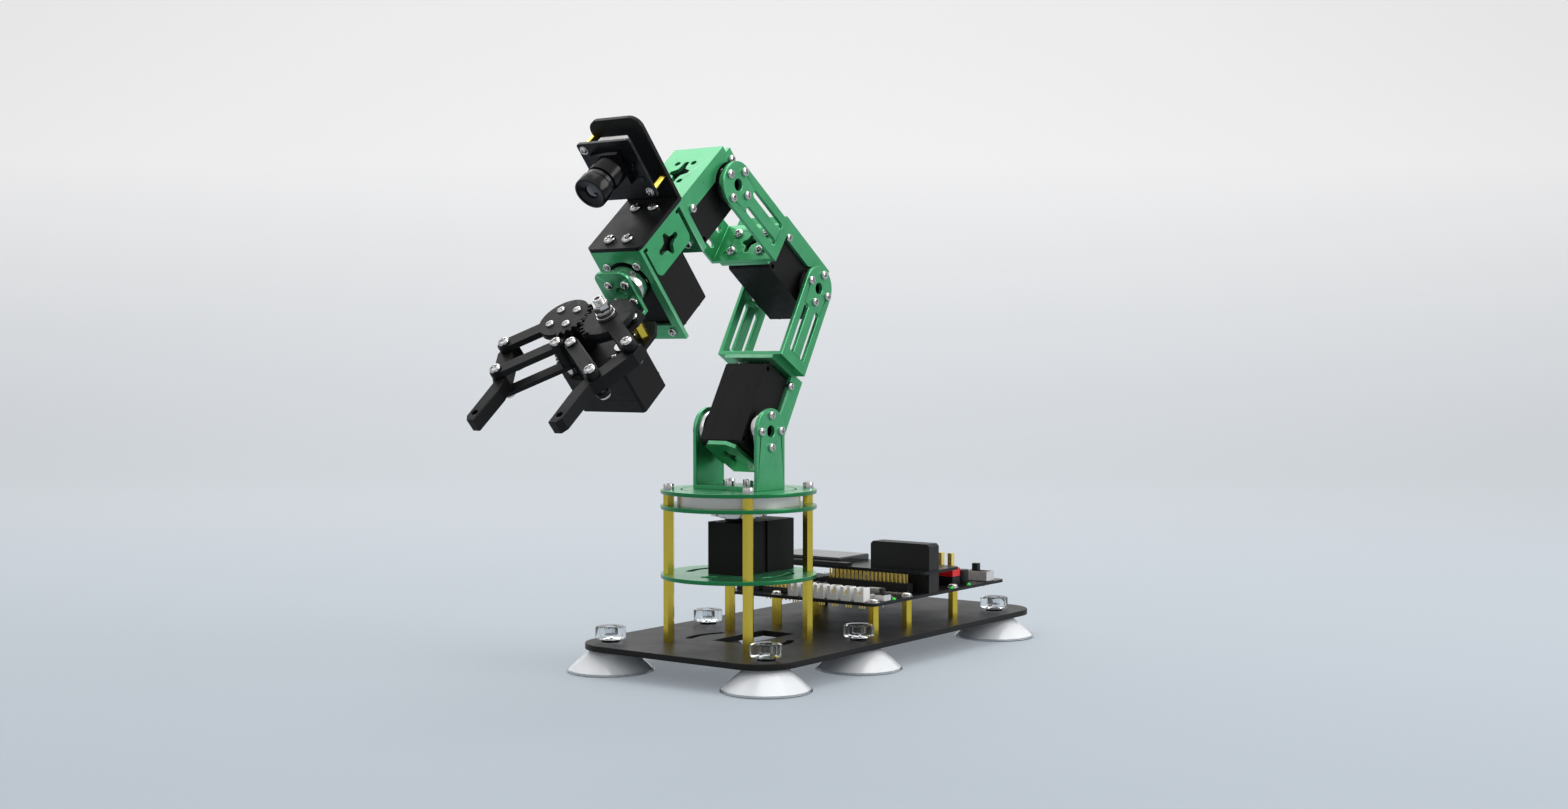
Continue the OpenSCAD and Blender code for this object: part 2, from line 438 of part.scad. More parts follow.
// plates lie in the x,z plane of the hand; helper extrudes along y
module xz_plate(y0, y1) { translate([0, y1, 0]) rotate([90, 0, 0]) linear_extrude(y1 - y0) children(); }
module gripper_frame() {
  arm_w() color(black) {
    // lower plate bolted on the servo and to the mount
    xz_plate(lp0, lp1) difference() {
      union() { polygon([[-26, 97], [-20, 90.4], [20, 90.4], [25, 98.5], [25, 109.6], [21.8, 117.3], [17.6, 131.8], [14.8, 137.4], [10, 137.4], [3, 131.6], [-6.5, 131], [-12, 126.5], [-21, 118.5], [-26, 114]]); }
      translate([-gear_x, gz]) circle(8.8, $fn = 48);
      translate([gear_x, gz]) circle(2.5);
      for (x = [-px, px]) translate([x, pz]) circle(1.6);
      for (p = fposts) translate(p) circle(1.6);
      for (x = [-20.7, 12.4], y = [100.4, 116.4]) translate([x, y]) circle(1.3);
      for (p = under) translate(p) circle(1.6);
      for (x = [-9, 1.5]) translate([x, 93.4]) circle(1.5);
    }
    // rear lug between lower plate and mount flange
    difference() {
      box([-12, lp1, 82.3], [8, lp1 + 2, 96.4]);
      for (x = [-8, 3.5]) ycyl(1.5, lp1 - 1, lp1 + 3, x, 85.5);
      for (x = [-9, 1.5]) ycyl(1.5, lp1 - 1, lp1 + 3, x, 93.4);
      ycyl(11.6, lp1 - 1, lp1 + 3, -gear_x, gz);
      ycyl(3.2, lp1 - 1, lp1 + 3, fposts[1][0], fposts[1][1]);
    }
    // upper plate
    xz_plate(tp0, tp1) difference() {
      polygon([[3, 93], [12, 89.5], [20, 95.6], [24.8, 98.8], [25, 105.5], [21, 112.8], [9, 117.5], [4.5, 112]]);
      translate([gear_x, gz]) circle(2.5);
      for (p = fposts) translate(p) circle(1.6);
    }
  }
}
// gripper servo: shaft up along y of the hand, case towards +x
module grip_tf() { translate([-gear_x, -27, gz]) multmatrix([[0, 0, 1, 0], [1, 0, 0, 0], [0, 1, 0, 0], [0, 0, 0, 1]]) children(); }
module gripper_servo_case() { arm_w() grip_tf() servo_case(false, 10, 10.5, 28.1, 14.5); }
module gripper_servo_motor() { arm_w() grip_tf() servo_motor(7.2, 18.8); }
module yscrew(x, y, z, l, r = 1.45, hr = 2.6, hh = 1.9) { translate([x, y, z]) rotate([-90, 0, 0]) pan(l, r, hr, hh); }
module yscrew_dn(x, y, z, l, r = 1.45, hr = 2.6, hh = 1.9) { translate([x, y, z]) rotate([90, 0, 0]) pan(l, r, hr, hh); }
module gripper_screws() {
  arm_w() color(steel) {
    // horn screws into the roll horn
    for (a = [45, 135, 225, 315]) rotate(a) translate([7, 0, 82]) pan(4.6, 1.2, 2.2, 1.6);
    for (p = fposts) { yscrew(p[0], tp1, p[1], 4); yscrew_dn(p[0], lp0, p[1], 4.4, 1.45, 2.6, 1.6); }
    for (x = [-20.7, 12.4], y = [100.4, 116.4]) yscrew(x, lp1, y, 6, 1.2, 2.2, 1.2);
    for (p = under) yscrew_dn(p[0], lp0, p[1], 1.9, 1.45, 3, 2.2);
    for (x = [-9, 1.5]) yscrew_dn(x, lp0, 93.4, 3.9, 1.45, 2.4, 1.6);
    // right gear bolt: shank, head under the plate, washer and nut stack on top
    difference() { union() { ycyl(2.5, lp0, g1 + 10.5, gear_x, gz); ycyl(4.4, lp1, lp1 + 1.6, gear_x, gz); ycyl(4.6, g1 + 0.3, g1 + 1.6, gear_x, gz); ycyl(4.2, g1 + 1.6, g1 + 3.5, gear_x, gz); ycyl(3.9, g1 + 3.5, g1 + 7.5, gear_x, gz); } ycyl(1.4, g1 + 8.5, g1 + 12, gear_x, gz); }
    // front pivots
    for (x = [-px, px]) { ycyl(1.95, lp1, g1 + 0.2, x, pz); ycyl(2.8, g1 + 0.3, g1 + 2.2, x, pz); ycyl(1.95, g1 + 0.1, g1 + 0.4, x, pz); ycyl(1.5, lp0, lp1 + 0.5, x, pz); ycyl(2.8, lp0 - 1.7, lp0, x, pz); }
    // mount flange screws
    for (x = [-8, 3.5]) yscrew_dn(x, lp0, 85.5, 3.9, 1.45, 2.6, 1.7);
  }
}
module gripper_spacers() {
  arm_w() color(brass) for (p = fposts) difference() { ycyl_hex(2.9, lp1, tp0, p[0], p[1]); ycyl(1.52, lp1 - 1, tp0 + 1, p[0], p[1]); }
}
module ycyl_hex(r, y0, y1, x, z) { translate([x, y0, z]) rotate([-90, 0, 0]) cylinder(r = r, h = y1 - y0, $fn = 6); }
// gear tooth sector outline centred on the gear axis; ph turns the teeth
module gear2d(ph, i0, i1, a0, a1) {
  pr = gear_x; n = gear_teeth; p = 360 / n; ri = pr - 1.15; ro = pr + 0.85;
  circle(ri, $fn = 72);
  difference() { circle(12.7, $fn = 72); polygon(concat([[0, 0]], [for (i = [0:6]) 30 * [cos(a0 + (a1 - a0) * i / 6), sin(a0 + (a1 - a0) * i / 6)]])); }
  for (i = [i0:i1]) let (a = ph + i * p) polygon([for (q = [[ri - 0.3, -0.27], [pr, -0.205], [ro, -0.1], [ro, 0.1], [pr, 0.205], [ri - 0.3, 0.27]]) q[0] * [cos(a + q[1] * p), sin(a + q[1] * p)]]);
}
module bar2d(x0, z0, x1, z1, w) {
  l = sqrt(pow(x1 - x0, 2) + pow(z1 - z0, 2)); a = atan2(z1 - z0, x1 - x0);
  translate([x0, z0]) rotate(a) { translate([0, -w / 2]) square([l, w]); circle(w / 2); translate([l, 0]) circle(w / 2); }
}
function A(s) = [s * (gear_x + grip_len * sin(ga)), gz + grip_len * cos(ga)];
function B(s) = [s * (px + grip_len * sin(ga)), pz + grip_len * cos(ga)];
module gear_arm(s) { // s = -1 driven left gear, +1 right gear
  color(black) difference() {
    union() {
      xz_plate(g0, g1) difference() {
        union() { translate([s * gear_x, gz]) if (s < 0) gear2d(0, -3, 5, -48, 76); else gear2d(180 + 180 / gear_teeth, -5, 2, 104, 228); bar2d(s * gear_x, gz, A(s)[0], A(s)[1], 7.4); }
        translate(A(s)) circle(2.05);
        if (s > 0) translate([gear_x, gz]) circle(2.55);
        if (s < 0) for (a = [45, 135, 225, 315]) translate([-gear_x, gz]) rotate(a) translate([7, 0]) circle(1.25);
      }
      if (s < 0) { ycyl(8.6, -7.6, g0, -gear_x, gz); ycyl(8.2, -10.6, -7.5, -gear_x, gz); ycyl(shaft_r, -15.2, -10.5, -gear_x, gz); }
      if (s > 0) { difference() { ycyl(5, tp1 + 0.3, g0, gear_x, gz); ycyl(2.55, 0, 10, gear_x, gz); } }
      if (s < 0) xz_plate(l0, l1) difference() { bar2d(-gear_x, gz, A(s)[0], A(s)[1], 6.4); translate(A(s)) circle(2.05); }
    }
    if (s < 0) for (a = [45, 135, 225, 315]) translate([-gear_x, -7.3, gz]) rotate([-90, 0, 0]) rotate(a) translate([7, 0, 0]) cylinder(r = 1.25, h = 20);
  }
}
module left_gear() { arm_w() gear_arm(-1); }
module gear_screws() { arm_w() color(steel) for (a = [45, 135, 225, 315]) translate([-gear_x, g1, gz]) rotate([-90, 0, 0]) rotate(a) translate([7, 0, 0]) pan(14.6, 1.2, 2.1, 1.1); }
module right_gear() { arm_w() gear_arm(1); }
module link(s) {
  color(black) difference() {
    union() {
      xz_plate(g0, g1) bar2d(s * px, pz, B(s)[0], B(s)[1], 6.6);
      xz_plate(l0, l1) bar2d(s * px, pz, B(s)[0], B(s)[1], 6.6);
      translate([s * px, 0, pz]) ycyl(3, l1 - 0.5, g0 + 0.5);
    }
    ycyl(2.02, -20, 20, s * px, pz);
    ycyl(2.05, -20, 20, B(s)[0], B(s)[1]);
  }
}
module left_link() { arm_w() link(-1); }
module right_link() { arm_w() link(1); }
// finger: bar between the two link layers, standing on pivots A and B
module finger() {
  a = A(1); b = B(1);
  color(black) difference() {
    xz_plate(-2.4, 4.1) polygon([[a[0] - 4, a[1] - 3.4], [a[0] + 4, a[1] - 3.4], [a[0] + 4, a[1] + 3.6], [b[0] + 4.2, b[1] + 0.8], [28.9, b[1] + 5], [28.5, 172.1], [26.5, 174.9], [22.3, 174.9], [22, 155], [b[0] - 4.3, b[1] + 0.5], [a[0] - 4.1, a[1] + 2.5]]);
    ycyl(2.02, -20, 20, a[0], a[1]);
    ycyl(2.02, -20, 20, b[0], b[1]);
    ycyl(1.6, -20, 20, 25.4, 169.8);
  }
}
module left_finger() { arm_w() mirror([1, 0, 0]) finger(); }
module right_finger() { arm_w() finger(); }
module finger_pins(s) {
  arm_w() color(steel) for (i = [0, 1]) {
    p = i == 0 ? A(s) : B(s);
    low = (s > 0 && i == 0) ? -2.4 : l0;
    ycyl(2, low - 0.3, g1 + 0.3, p[0], p[1]); ycyl(2.8, g1 + 0.3, g1 + 2.2, p[0], p[1]); ycyl(2.5, low - 1.5, low - 0.3, p[0], p[1]);
  }
}
module left_finger_pins() { finger_pins(-1); }
module right_finger_pins() { finger_pins(1); }

base_plate();
suction_cups();
base_screws();
brass_standoffs();
tower_discs();
table_bearing();
waist_servo_case();
waist_servo_motor();
circuit_boards();
servo_sockets();
board_parts();
power_plug();
header_pins();
computer_module();
power_switch_slider();
turntable();
turntable_disc();
waist_horn();
shoulder_bracket();
shoulder_screws();
shoulder_horns();
shoulder_servo_case();
shoulder_servo_motor();
shoulder_cage();
upper_arm_link();
upper_arm_screws();
elbow_horns();
elbow_servo_case();
elbow_servo_motor();
elbow_cage();
forearm_link();
forearm_screws();
wrist_horns();
wrist_servo_case();
wrist_cage();
roll_bracket();
roll_servo_case();
wrist_motors();
wrist_screws();
camera_bracket();
camera_board();
camera_standoffs();
lens_holder();
lens_barrel();
roll_horn();
gripper_mount();
gripper_frame();
gripper_servo_case();
gripper_servo_motor();
gripper_screws();
gripper_spacers();
left_gear();
gear_screws();
right_gear();
left_link();
right_link();
left_finger();
right_finger();
left_finger_pins();
right_finger_pins();
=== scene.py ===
import bpy, bmesh, math, json, random
from mathutils import Matrix, Vector, noise


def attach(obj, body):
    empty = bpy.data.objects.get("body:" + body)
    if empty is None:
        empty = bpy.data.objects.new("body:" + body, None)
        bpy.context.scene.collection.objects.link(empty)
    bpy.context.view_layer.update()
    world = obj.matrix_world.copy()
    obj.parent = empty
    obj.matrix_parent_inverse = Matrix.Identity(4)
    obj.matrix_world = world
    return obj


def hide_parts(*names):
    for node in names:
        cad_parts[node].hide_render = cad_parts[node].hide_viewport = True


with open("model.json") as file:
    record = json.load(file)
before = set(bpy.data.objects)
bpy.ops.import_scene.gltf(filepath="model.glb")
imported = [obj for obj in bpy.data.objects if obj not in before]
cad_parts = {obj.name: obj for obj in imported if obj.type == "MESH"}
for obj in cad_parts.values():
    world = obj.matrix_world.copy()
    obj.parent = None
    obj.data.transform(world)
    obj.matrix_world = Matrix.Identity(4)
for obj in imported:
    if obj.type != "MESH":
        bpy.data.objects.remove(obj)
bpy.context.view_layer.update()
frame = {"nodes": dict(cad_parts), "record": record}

scene = bpy.context.scene
rad = math.radians

# ------------------------------------------------------------------ camera
cam_data = bpy.data.cameras.new("cam")
cam = bpy.data.objects.new("cam", cam_data)
scene.collection.objects.link(cam)
scene.camera = cam
cam_data.sensor_width = 36.0
cam_data.lens = 42.82
cam_data.clip_start, cam_data.clip_end = 0.02, 60
az, el = rad(36.203), rad(1.456)
look = Vector((-math.sin(az) * math.cos(el), math.cos(az) * math.cos(el), -math.sin(el)))
cam.location = (0.57043, -0.74085, 0.15669)
cam.rotation_mode = "QUATERNION"
cam.rotation_quaternion = look.to_track_quat("-Z", "Y")

# ------------------------------------------------------------------ frames, mm
L, SZ, UT, FT, HT = 82.85, 119.9, 29.84, -54.64, -130.6
S = Vector((0, 0, SZ))
E = Vector((0, L * math.sin(rad(UT)), SZ + L * math.cos(rad(UT))))
W = Vector((0, E.y + L * math.sin(rad(FT)), E.z + L * math.cos(rad(FT))))
T = Matrix.Translation
R = lambda d, a: Matrix.Rotation(rad(d), 4, a)
def at(P, a): return T(P) @ R(-a, "X")
ARM_S, ARM_E, ARM_W = at(S, UT), at(E, FT), at(W, HT)
TIP_S, TIP_E = ARM_S @ T((0, 0, L)), ARM_E @ T((0, 0, L))
WAIST = T((0, 0, 61.4)) @ Matrix(((0, 1, 0, 0), (0, 0, 1, 0), (1, 0, 0, 0), (0, 0, 0, 1)))
ROLL = ARM_W @ T((0, 0, 58.5)) @ Matrix(((0, 1, 0, 0), (0, 0, -1, 0), (1, 0, 0, 0), (0, 0, 0, 1)))
GX, GZ, PX, PZ, GL, GA = 13.2, 108.4, 4.64, 127.0, 30.0, 52.5
GRIP = ARM_W @ T((-GX, -27, GZ)) @ Matrix(((0, 0, 1, 0), (1, 0, 0, 0), (0, 1, 0, 0), (0, 0, 0, 1)))
SX, SV, SD, SU, EARX = 13.0, 11.0, 12.0, 33.0, 20.24
COL = 24.9
POSTS = [(44.6, 55.5), (-16, 54), (44, 88), (-22, 98), (44.5, 134), (-43, 136)]
CUPS = [(x, y) for x in (-48.5, 48.5) for y in (-42, 36, 172)]
def A(s): return (s * (GX + GL * math.sin(rad(GA))), GZ + GL * math.cos(rad(GA)))
def B(s): return (s * (PX + GL * math.sin(rad(GA))), PZ + GL * math.cos(rad(GA)))

# ------------------------------------------------------------------ mesh helpers, mm
class Geo:
    def __init__(self): self.v, self.f = [], []
    def add(self, g, M=None):
        v, f = g
        n = len(self.v)
        self.v += [tuple(M @ Vector(p)) if M is not None else tuple(p) for p in v]
        self.f += [tuple(i + n for i in q) for q in f]
        return self
    def obj(self, name, mat, body, slot=None, bevel=0.0, seg=2, smooth=35, rep=(), angle=35):
        me = bpy.data.meshes.new(name)
        me.from_pydata([(x / 1000, y / 1000, z / 1000) for x, y, z in self.v], [], self.f)
        bm = bmesh.new(); bm.from_mesh(me)
        bmesh.ops.recalc_face_normals(bm, faces=bm.faces)
        bm.to_mesh(me); bm.free()
        o = bpy.data.objects.new(name, me)
        scene.collection.objects.link(o)
        me.materials.append(mat)
        if bevel:
            b = o.modifiers.new("edge", "BEVEL")
            b.width, b.segments, b.limit_method, b.angle_limit = bevel / 1000, seg, "ANGLE", rad(angle)
            b.use_clamp_overlap = True
        me.polygons.foreach_set("use_smooth", [True] * len(me.polygons))
        me.set_sharp_from_angle(angle=rad(smooth))
        if bevel: b.harden_normals = False
        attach(o, body)
        if rep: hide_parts(*rep)
        return o

def box(a, b):
    (x0, y0, z0), (x1, y1, z1) = a, b
    v = [(x0, y0, z0), (x1, y0, z0), (x1, y1, z0), (x0, y1, z0), (x0, y0, z1), (x1, y0, z1), (x1, y1, z1), (x0, y1, z1)]
    return v, [(0, 3, 2, 1), (4, 5, 6, 7), (0, 1, 5, 4), (1, 2, 6, 5), (2, 3, 7, 6), (3, 0, 4, 7)]
def lathe(prof, n=32, close=False):
    """profile of (r, z), turned about z; r = 0 ends are closed to a point"""
    v, f, rings = [], [], []
    for r, z in prof:
        if r < 1e-6: rings.append([len(v)]); v.append((0, 0, z))
        else:
            rings.append(list(range(len(v), len(v) + n)))
            v += [(r * math.cos(2 * math.pi * i / n), r * math.sin(2 * math.pi * i / n), z) for i in range(n)]
    pairs = list(zip(rings, rings[1:])) + ([(rings[-1], rings[0])] if close else [])
    for a, b in pairs:
        if len(a) == 1 and len(b) == 1: continue
        for i in range(n):
            j = (i + 1) % n
            if len(a) == 1: f.append((a[0], b[i], b[j]))
            elif len(b) == 1: f.append((a[i], a[j], b[0]))
            else: f.append((a[i], a[j], b[j], b[i]))
    return v, f
def prism(pts, z0, z1):
    n = len(pts)
    v = [(x, y, z0) for x, y in pts] + [(x, y, z1) for x, y in pts]
    return v, [tuple(range(n - 1, -1, -1)), tuple(range(n, 2 * n))] + [(i, (i + 1) % n, n + (i + 1) % n, n + i) for i in range(n)]
def rrect(x0, y0, x1, y1, r, n=6):
    p = []
    for cx, cy, a0 in ((x1 - r, y1 - r, 0), (x0 + r, y1 - r, 90), (x0 + r, y0 + r, 180), (x1 - r, y0 + r, 270)):
        p += [(cx + r * math.cos(rad(a0 + 90 * i / n)), cy + r * math.sin(rad(a0 + 90 * i / n))) for i in range(n + 1)]
    return p
def ngon(r, n, a0=0): return [(r * math.cos(rad(a0 + 360 * i / n)), r * math.sin(rad(a0 + 360 * i / n))) for i in range(n)]

def boolean(a, cutters):
    """template mesh a minus the cutters, as (verts, faces)"""
    def mk(g, nm):
        me = bpy.data.meshes.new(nm); me.from_pydata([tuple(p) for p in g[0]], [], g[1])
        bm = bmesh.new(); bm.from_mesh(me); bmesh.ops.recalc_face_normals(bm, faces=bm.faces); bm.to_mesh(me); bm.free()
        o = bpy.data.objects.new(nm, me); scene.collection.objects.link(o); return o
    o = mk(a, "tmpa"); cs = []
    for c in cutters:
        k = mk(c, "tmpc"); cs.append(k)
        m = o.modifiers.new("b", "BOOLEAN"); m.operation = "DIFFERENCE"; m.object = k; m.solver = "EXACT"
    dg = bpy.context.evaluated_depsgraph_get()
    me = o.evaluated_get(dg).to_mesh()
    out = [tuple(v.co) for v in me.vertices], [tuple(p.vertices) for p in me.polygons]
    for k in [o] + cs: bpy.data.objects.remove(k, do_unlink=True)
    return out

# ------------------------------------------------------------------ materials
def mat(name, base, rough, metal=0.0, var=0.12, scale=220.0, bump=0.02, bscale=900.0, rvar=0.12, coat=0.0, coat_rough=0.15, spec=None,
        aniso=0.0, stretch=(1, 1, 1), dust=0.0, edge_wear_and_highlight=0.0, edge_wear_and_highlight_col=(0.6, 0.6, 0.6), trans=0.0, ior=None, alpha=None, emis=None, ramp=(0.3, 0.7)):
    m = bpy.data.materials.new(name); m.use_nodes = True
    nt = m.node_tree; ns, lk = nt.nodes, nt.links
    p = ns["Principled BSDF"]
    tc = ns.new("ShaderNodeTexCoord"); mp = ns.new("ShaderNodeMapping"); mp.inputs["Scale"].default_value = stretch
    lk.new(tc.outputs["Object"], mp.inputs["Vector"])
    n1 = ns.new("ShaderNodeTexNoise"); n1.inputs["Scale"].default_value = scale; n1.inputs["Detail"].default_value = 5
    lk.new(mp.outputs["Vector"], n1.inputs["Vector"])
    cr = ns.new("ShaderNodeValToRGB")
    lo = [max(0, c * (1 - var)) for c in base]; hi = [min(1, c * (1 + var)) for c in base]
    cr.color_ramp.elements[0].position, cr.color_ramp.elements[1].position = ramp
    cr.color_ramp.elements[0].color = (*lo, 1); cr.color_ramp.elements[1].color = (*hi, 1)
    lk.new(n1.outputs["Fac"], cr.inputs["Fac"])
    col = cr.outputs["Color"]
    if dust:
        ge = ns.new("ShaderNodeNewGeometry"); sp = ns.new("ShaderNodeSeparateXYZ"); lk.new(ge.outputs["Normal"], sp.inputs[0])
        n3 = ns.new("ShaderNodeTexNoise"); n3.inputs["Scale"].default_value = 60; n3.inputs["Detail"].default_value = 8
        lk.new(tc.outputs["Object"], n3.inputs["Vector"])
        mr = ns.new("ShaderNodeMapRange"); mr.inputs["From Min"].default_value = 0.3; mr.inputs["From Max"].default_value = 1.0; mr.inputs["To Max"].default_value = dust
        lk.new(sp.outputs["Z"], mr.inputs["Value"])
        mu = ns.new("ShaderNodeMath"); mu.operation = "MULTIPLY"; lk.new(mr.outputs[0], mu.inputs[0]); lk.new(n3.outputs["Fac"], mu.inputs[1])
        mx = ns.new("ShaderNodeMix"); mx.data_type = "RGBA"; mx.inputs["B"].default_value = (0.5, 0.49, 0.47, 1)
        lk.new(mu.outputs[0], mx.inputs["Factor"]); lk.new(col, mx.inputs["A"]); col = mx.outputs["Result"]
    # lighter colour on convex edges (pointiness): on the green metal a painted highlight along the bends, on the black
    # parts partly rubbed-edge wear and partly painted highlight
    if edge_wear_and_highlight:
        ge2 = ns.new("ShaderNodeNewGeometry")
        r2 = ns.new("ShaderNodeMapRange"); r2.inputs["From Min"].default_value = 0.52; r2.inputs["From Max"].default_value = 0.62; r2.inputs["To Max"].default_value = edge_wear_and_highlight
        lk.new(ge2.outputs["Pointiness"], r2.inputs["Value"])
        n4 = ns.new("ShaderNodeTexNoise"); n4.inputs["Scale"].default_value = 160; n4.inputs["Detail"].default_value = 6
        lk.new(tc.outputs["Object"], n4.inputs["Vector"])
        m4 = ns.new("ShaderNodeMath"); m4.operation = "MULTIPLY"; lk.new(r2.outputs[0], m4.inputs[0]); lk.new(n4.outputs["Fac"], m4.inputs[1])
        mx2 = ns.new("ShaderNodeMix"); mx2.data_type = "RGBA"; mx2.inputs["B"].default_value = (*edge_wear_and_highlight_col, 1)
        lk.new(m4.outputs[0], mx2.inputs["Factor"]); lk.new(col, mx2.inputs["A"]); col = mx2.outputs["Result"]
    lk.new(col, p.inputs["Base Color"])
    n2 = ns.new("ShaderNodeTexNoise"); n2.inputs["Scale"].default_value = bscale; n2.inputs["Detail"].default_value = 4
    lk.new(mp.outputs["Vector"], n2.inputs["Vector"])
    rr = ns.new("ShaderNodeMapRange"); rr.inputs["From Min"].default_value = 0.3; rr.inputs["From Max"].default_value = 0.7
    rr.inputs["To Min"].default_value = max(0.02, rough * (1 - rvar)); rr.inputs["To Max"].default_value = min(1, rough * (1 + rvar))
    lk.new(n1.outputs["Fac"], rr.inputs["Value"]); lk.new(rr.outputs[0], p.inputs["Roughness"])
    if bump:
        b = ns.new("ShaderNodeBump"); b.inputs["Strength"].default_value = 0.35; b.inputs["Distance"].default_value = bump / 1000
        lk.new(n2.outputs["Fac"], b.inputs["Height"]); lk.new(b.outputs["Normal"], p.inputs["Normal"])
    p.inputs["Metallic"].default_value = metal
    p.inputs["Coat Weight"].default_value = coat; p.inputs["Coat Roughness"].default_value = coat_rough
    if spec is not None: p.inputs["Specular IOR Level"].default_value = spec
    if aniso: p.inputs["Anisotropic"].default_value = aniso
    if trans: p.inputs["Transmission Weight"].default_value = trans
    if ior: p.inputs["IOR"].default_value = ior
    if alpha: p.inputs["Alpha"].default_value = alpha
    if emis: p.inputs["Emission Color"].default_value = (*emis[0], 1); p.inputs["Emission Strength"].default_value = emis[1]
    return m

MAT = {
 # the mint edge colour of the green metal is a painted highlight along its bent edges
 "green_metal": mat("green_anodised", (0.045, 0.345, 0.135), 0.3, 0.62, var=0.04, scale=90, bump=0.005, bscale=2600, rvar=0.12, coat=0.16, coat_rough=0.16, edge_wear_and_highlight=0.5, edge_wear_and_highlight_col=(0.62, 0.95, 0.76)),
 "black_metal": mat("black_satin_metal", (0.0048, 0.0048, 0.0052), 0.45, 0.0, var=0.12, scale=120, bump=0.008, bscale=3200, rvar=0.12, spec=0.14, dust=0.006, edge_wear_and_highlight=0.1, edge_wear_and_highlight_col=(0.06, 0.06, 0.06)),
 "servo_plastic": mat("servo_shell_plastic", (0.0056, 0.005, 0.0053), 0.5, 0.0, var=0.1, scale=200, bump=0.02, bscale=4500, rvar=0.12, spec=0.14, dust=0.005, edge_wear_and_highlight=0.08, edge_wear_and_highlight_col=(0.04, 0.04, 0.04)),
 "bright_steel": mat("zinc_bright_steel", (0.55, 0.54, 0.53), 0.17, 1.0, var=0.08, scale=300, bump=0.008, bscale=2500, rvar=0.35),
 "race_steel": mat("bearing_steel", (0.72, 0.66, 0.65), 0.42, 0.75, var=0.02, scale=60, bump=0.003, bscale=1500, rvar=0.1),
 "motor_steel": mat("motor_can_steel", (0.5, 0.5, 0.51), 0.34, 1.0, var=0.1, scale=150, bump=0.01),
 "brass": mat("brass_turned", (0.66, 0.5, 0.07), 0.2, 1.0, var=0.015, scale=140, bump=0.0, rvar=0.08),
 "clear_pvc": mat("clear_soft_pvc", (0.82, 0.845, 0.86), 0.03, 0.0, var=0.005, scale=60, bump=0.0, rvar=0.1, trans=1.0, ior=1.2, spec=0.3),
 "board_black": mat("black_solder_mask", (0.006, 0.007, 0.008), 0.3, 0.0, var=0.2, scale=400, bump=0.01, bscale=1500, rvar=0.2, spec=0.18),
 "white_nylon": mat("white_nylon", (0.72, 0.71, 0.69), 0.4, 0.0, var=0.04, scale=300, bump=0.02, bscale=2000),
 "part_black": mat("black_moulding", (0.008, 0.008, 0.008), 0.45, 0.0, var=0.15, scale=300, bump=0.03, bscale=3500, spec=0.3),
 "red_nylon": mat("red_nylon", (0.60, 0.008, 0.012), 0.32, 0.0, var=0.1, scale=300, bump=0.02, bscale=2500),
 "gold_pin": mat("gold_plated_pin", (0.95, 0.74, 0.22), 0.3, 0.9, var=0.04, scale=500, bump=0.0),
 "module_black": mat("glossy_heat_spreader", (0.012, 0.012, 0.013), 0.1, 0.0, var=0.1, scale=100, bump=0.002, bscale=900, rvar=0.2, spec=0.7),
 "lens_black": mat("lens_black", (0.0035, 0.0035, 0.004), 0.17, 0.0, var=0.1, scale=300, bump=0.0, rvar=0.1, spec=0.22, coat=0.0),
}
M_BASE = mat("base_plate_black", (0.0075, 0.007, 0.0065), 0.4, 0.0, var=0.05, scale=60, bump=0.005, bscale=2600, rvar=0.08, spec=0.15)
M_MILK = mat("milky_soft_pvc", (0.86, 0.87, 0.88), 0.16, 0.0, var=0.015, scale=25, bump=0.0, rvar=0.1, trans=0.3, ior=1.35, coat=0.6, coat_rough=0.05)
M_TIN = mat("tin_plate", (0.7, 0.69, 0.67), 0.36, 0.75, var=0.06, scale=400, bump=0.006)
M_GLASS = mat("lens_glass", (0.006, 0.006, 0.02), 0.04, 0.0, var=0.1, scale=30, bump=0.0, coat=1.0, coat_rough=0.03, spec=0.7)
M_LED = mat("green_led", (0.03, 0.4, 0.05), 0.25, 0.0, var=0.05, bump=0.004, emis=((0.05, 0.9, 0.08), 0.35))
M_CHIP = mat("chip_epoxy", (0.01, 0.01, 0.011), 0.5, 0.0, var=0.15, scale=700, bump=0.02, bscale=5000, spec=0.3)
M_CER = mat("ceramic_tan", (0.35, 0.24, 0.13), 0.45, 0.0, var=0.2, scale=900, bump=0.01)
M_LABEL = mat("satin_collar", (0.012, 0.012, 0.013), 0.32, 0.0, var=0.1, scale=400, bump=0.004, bscale=3000, spec=0.35)

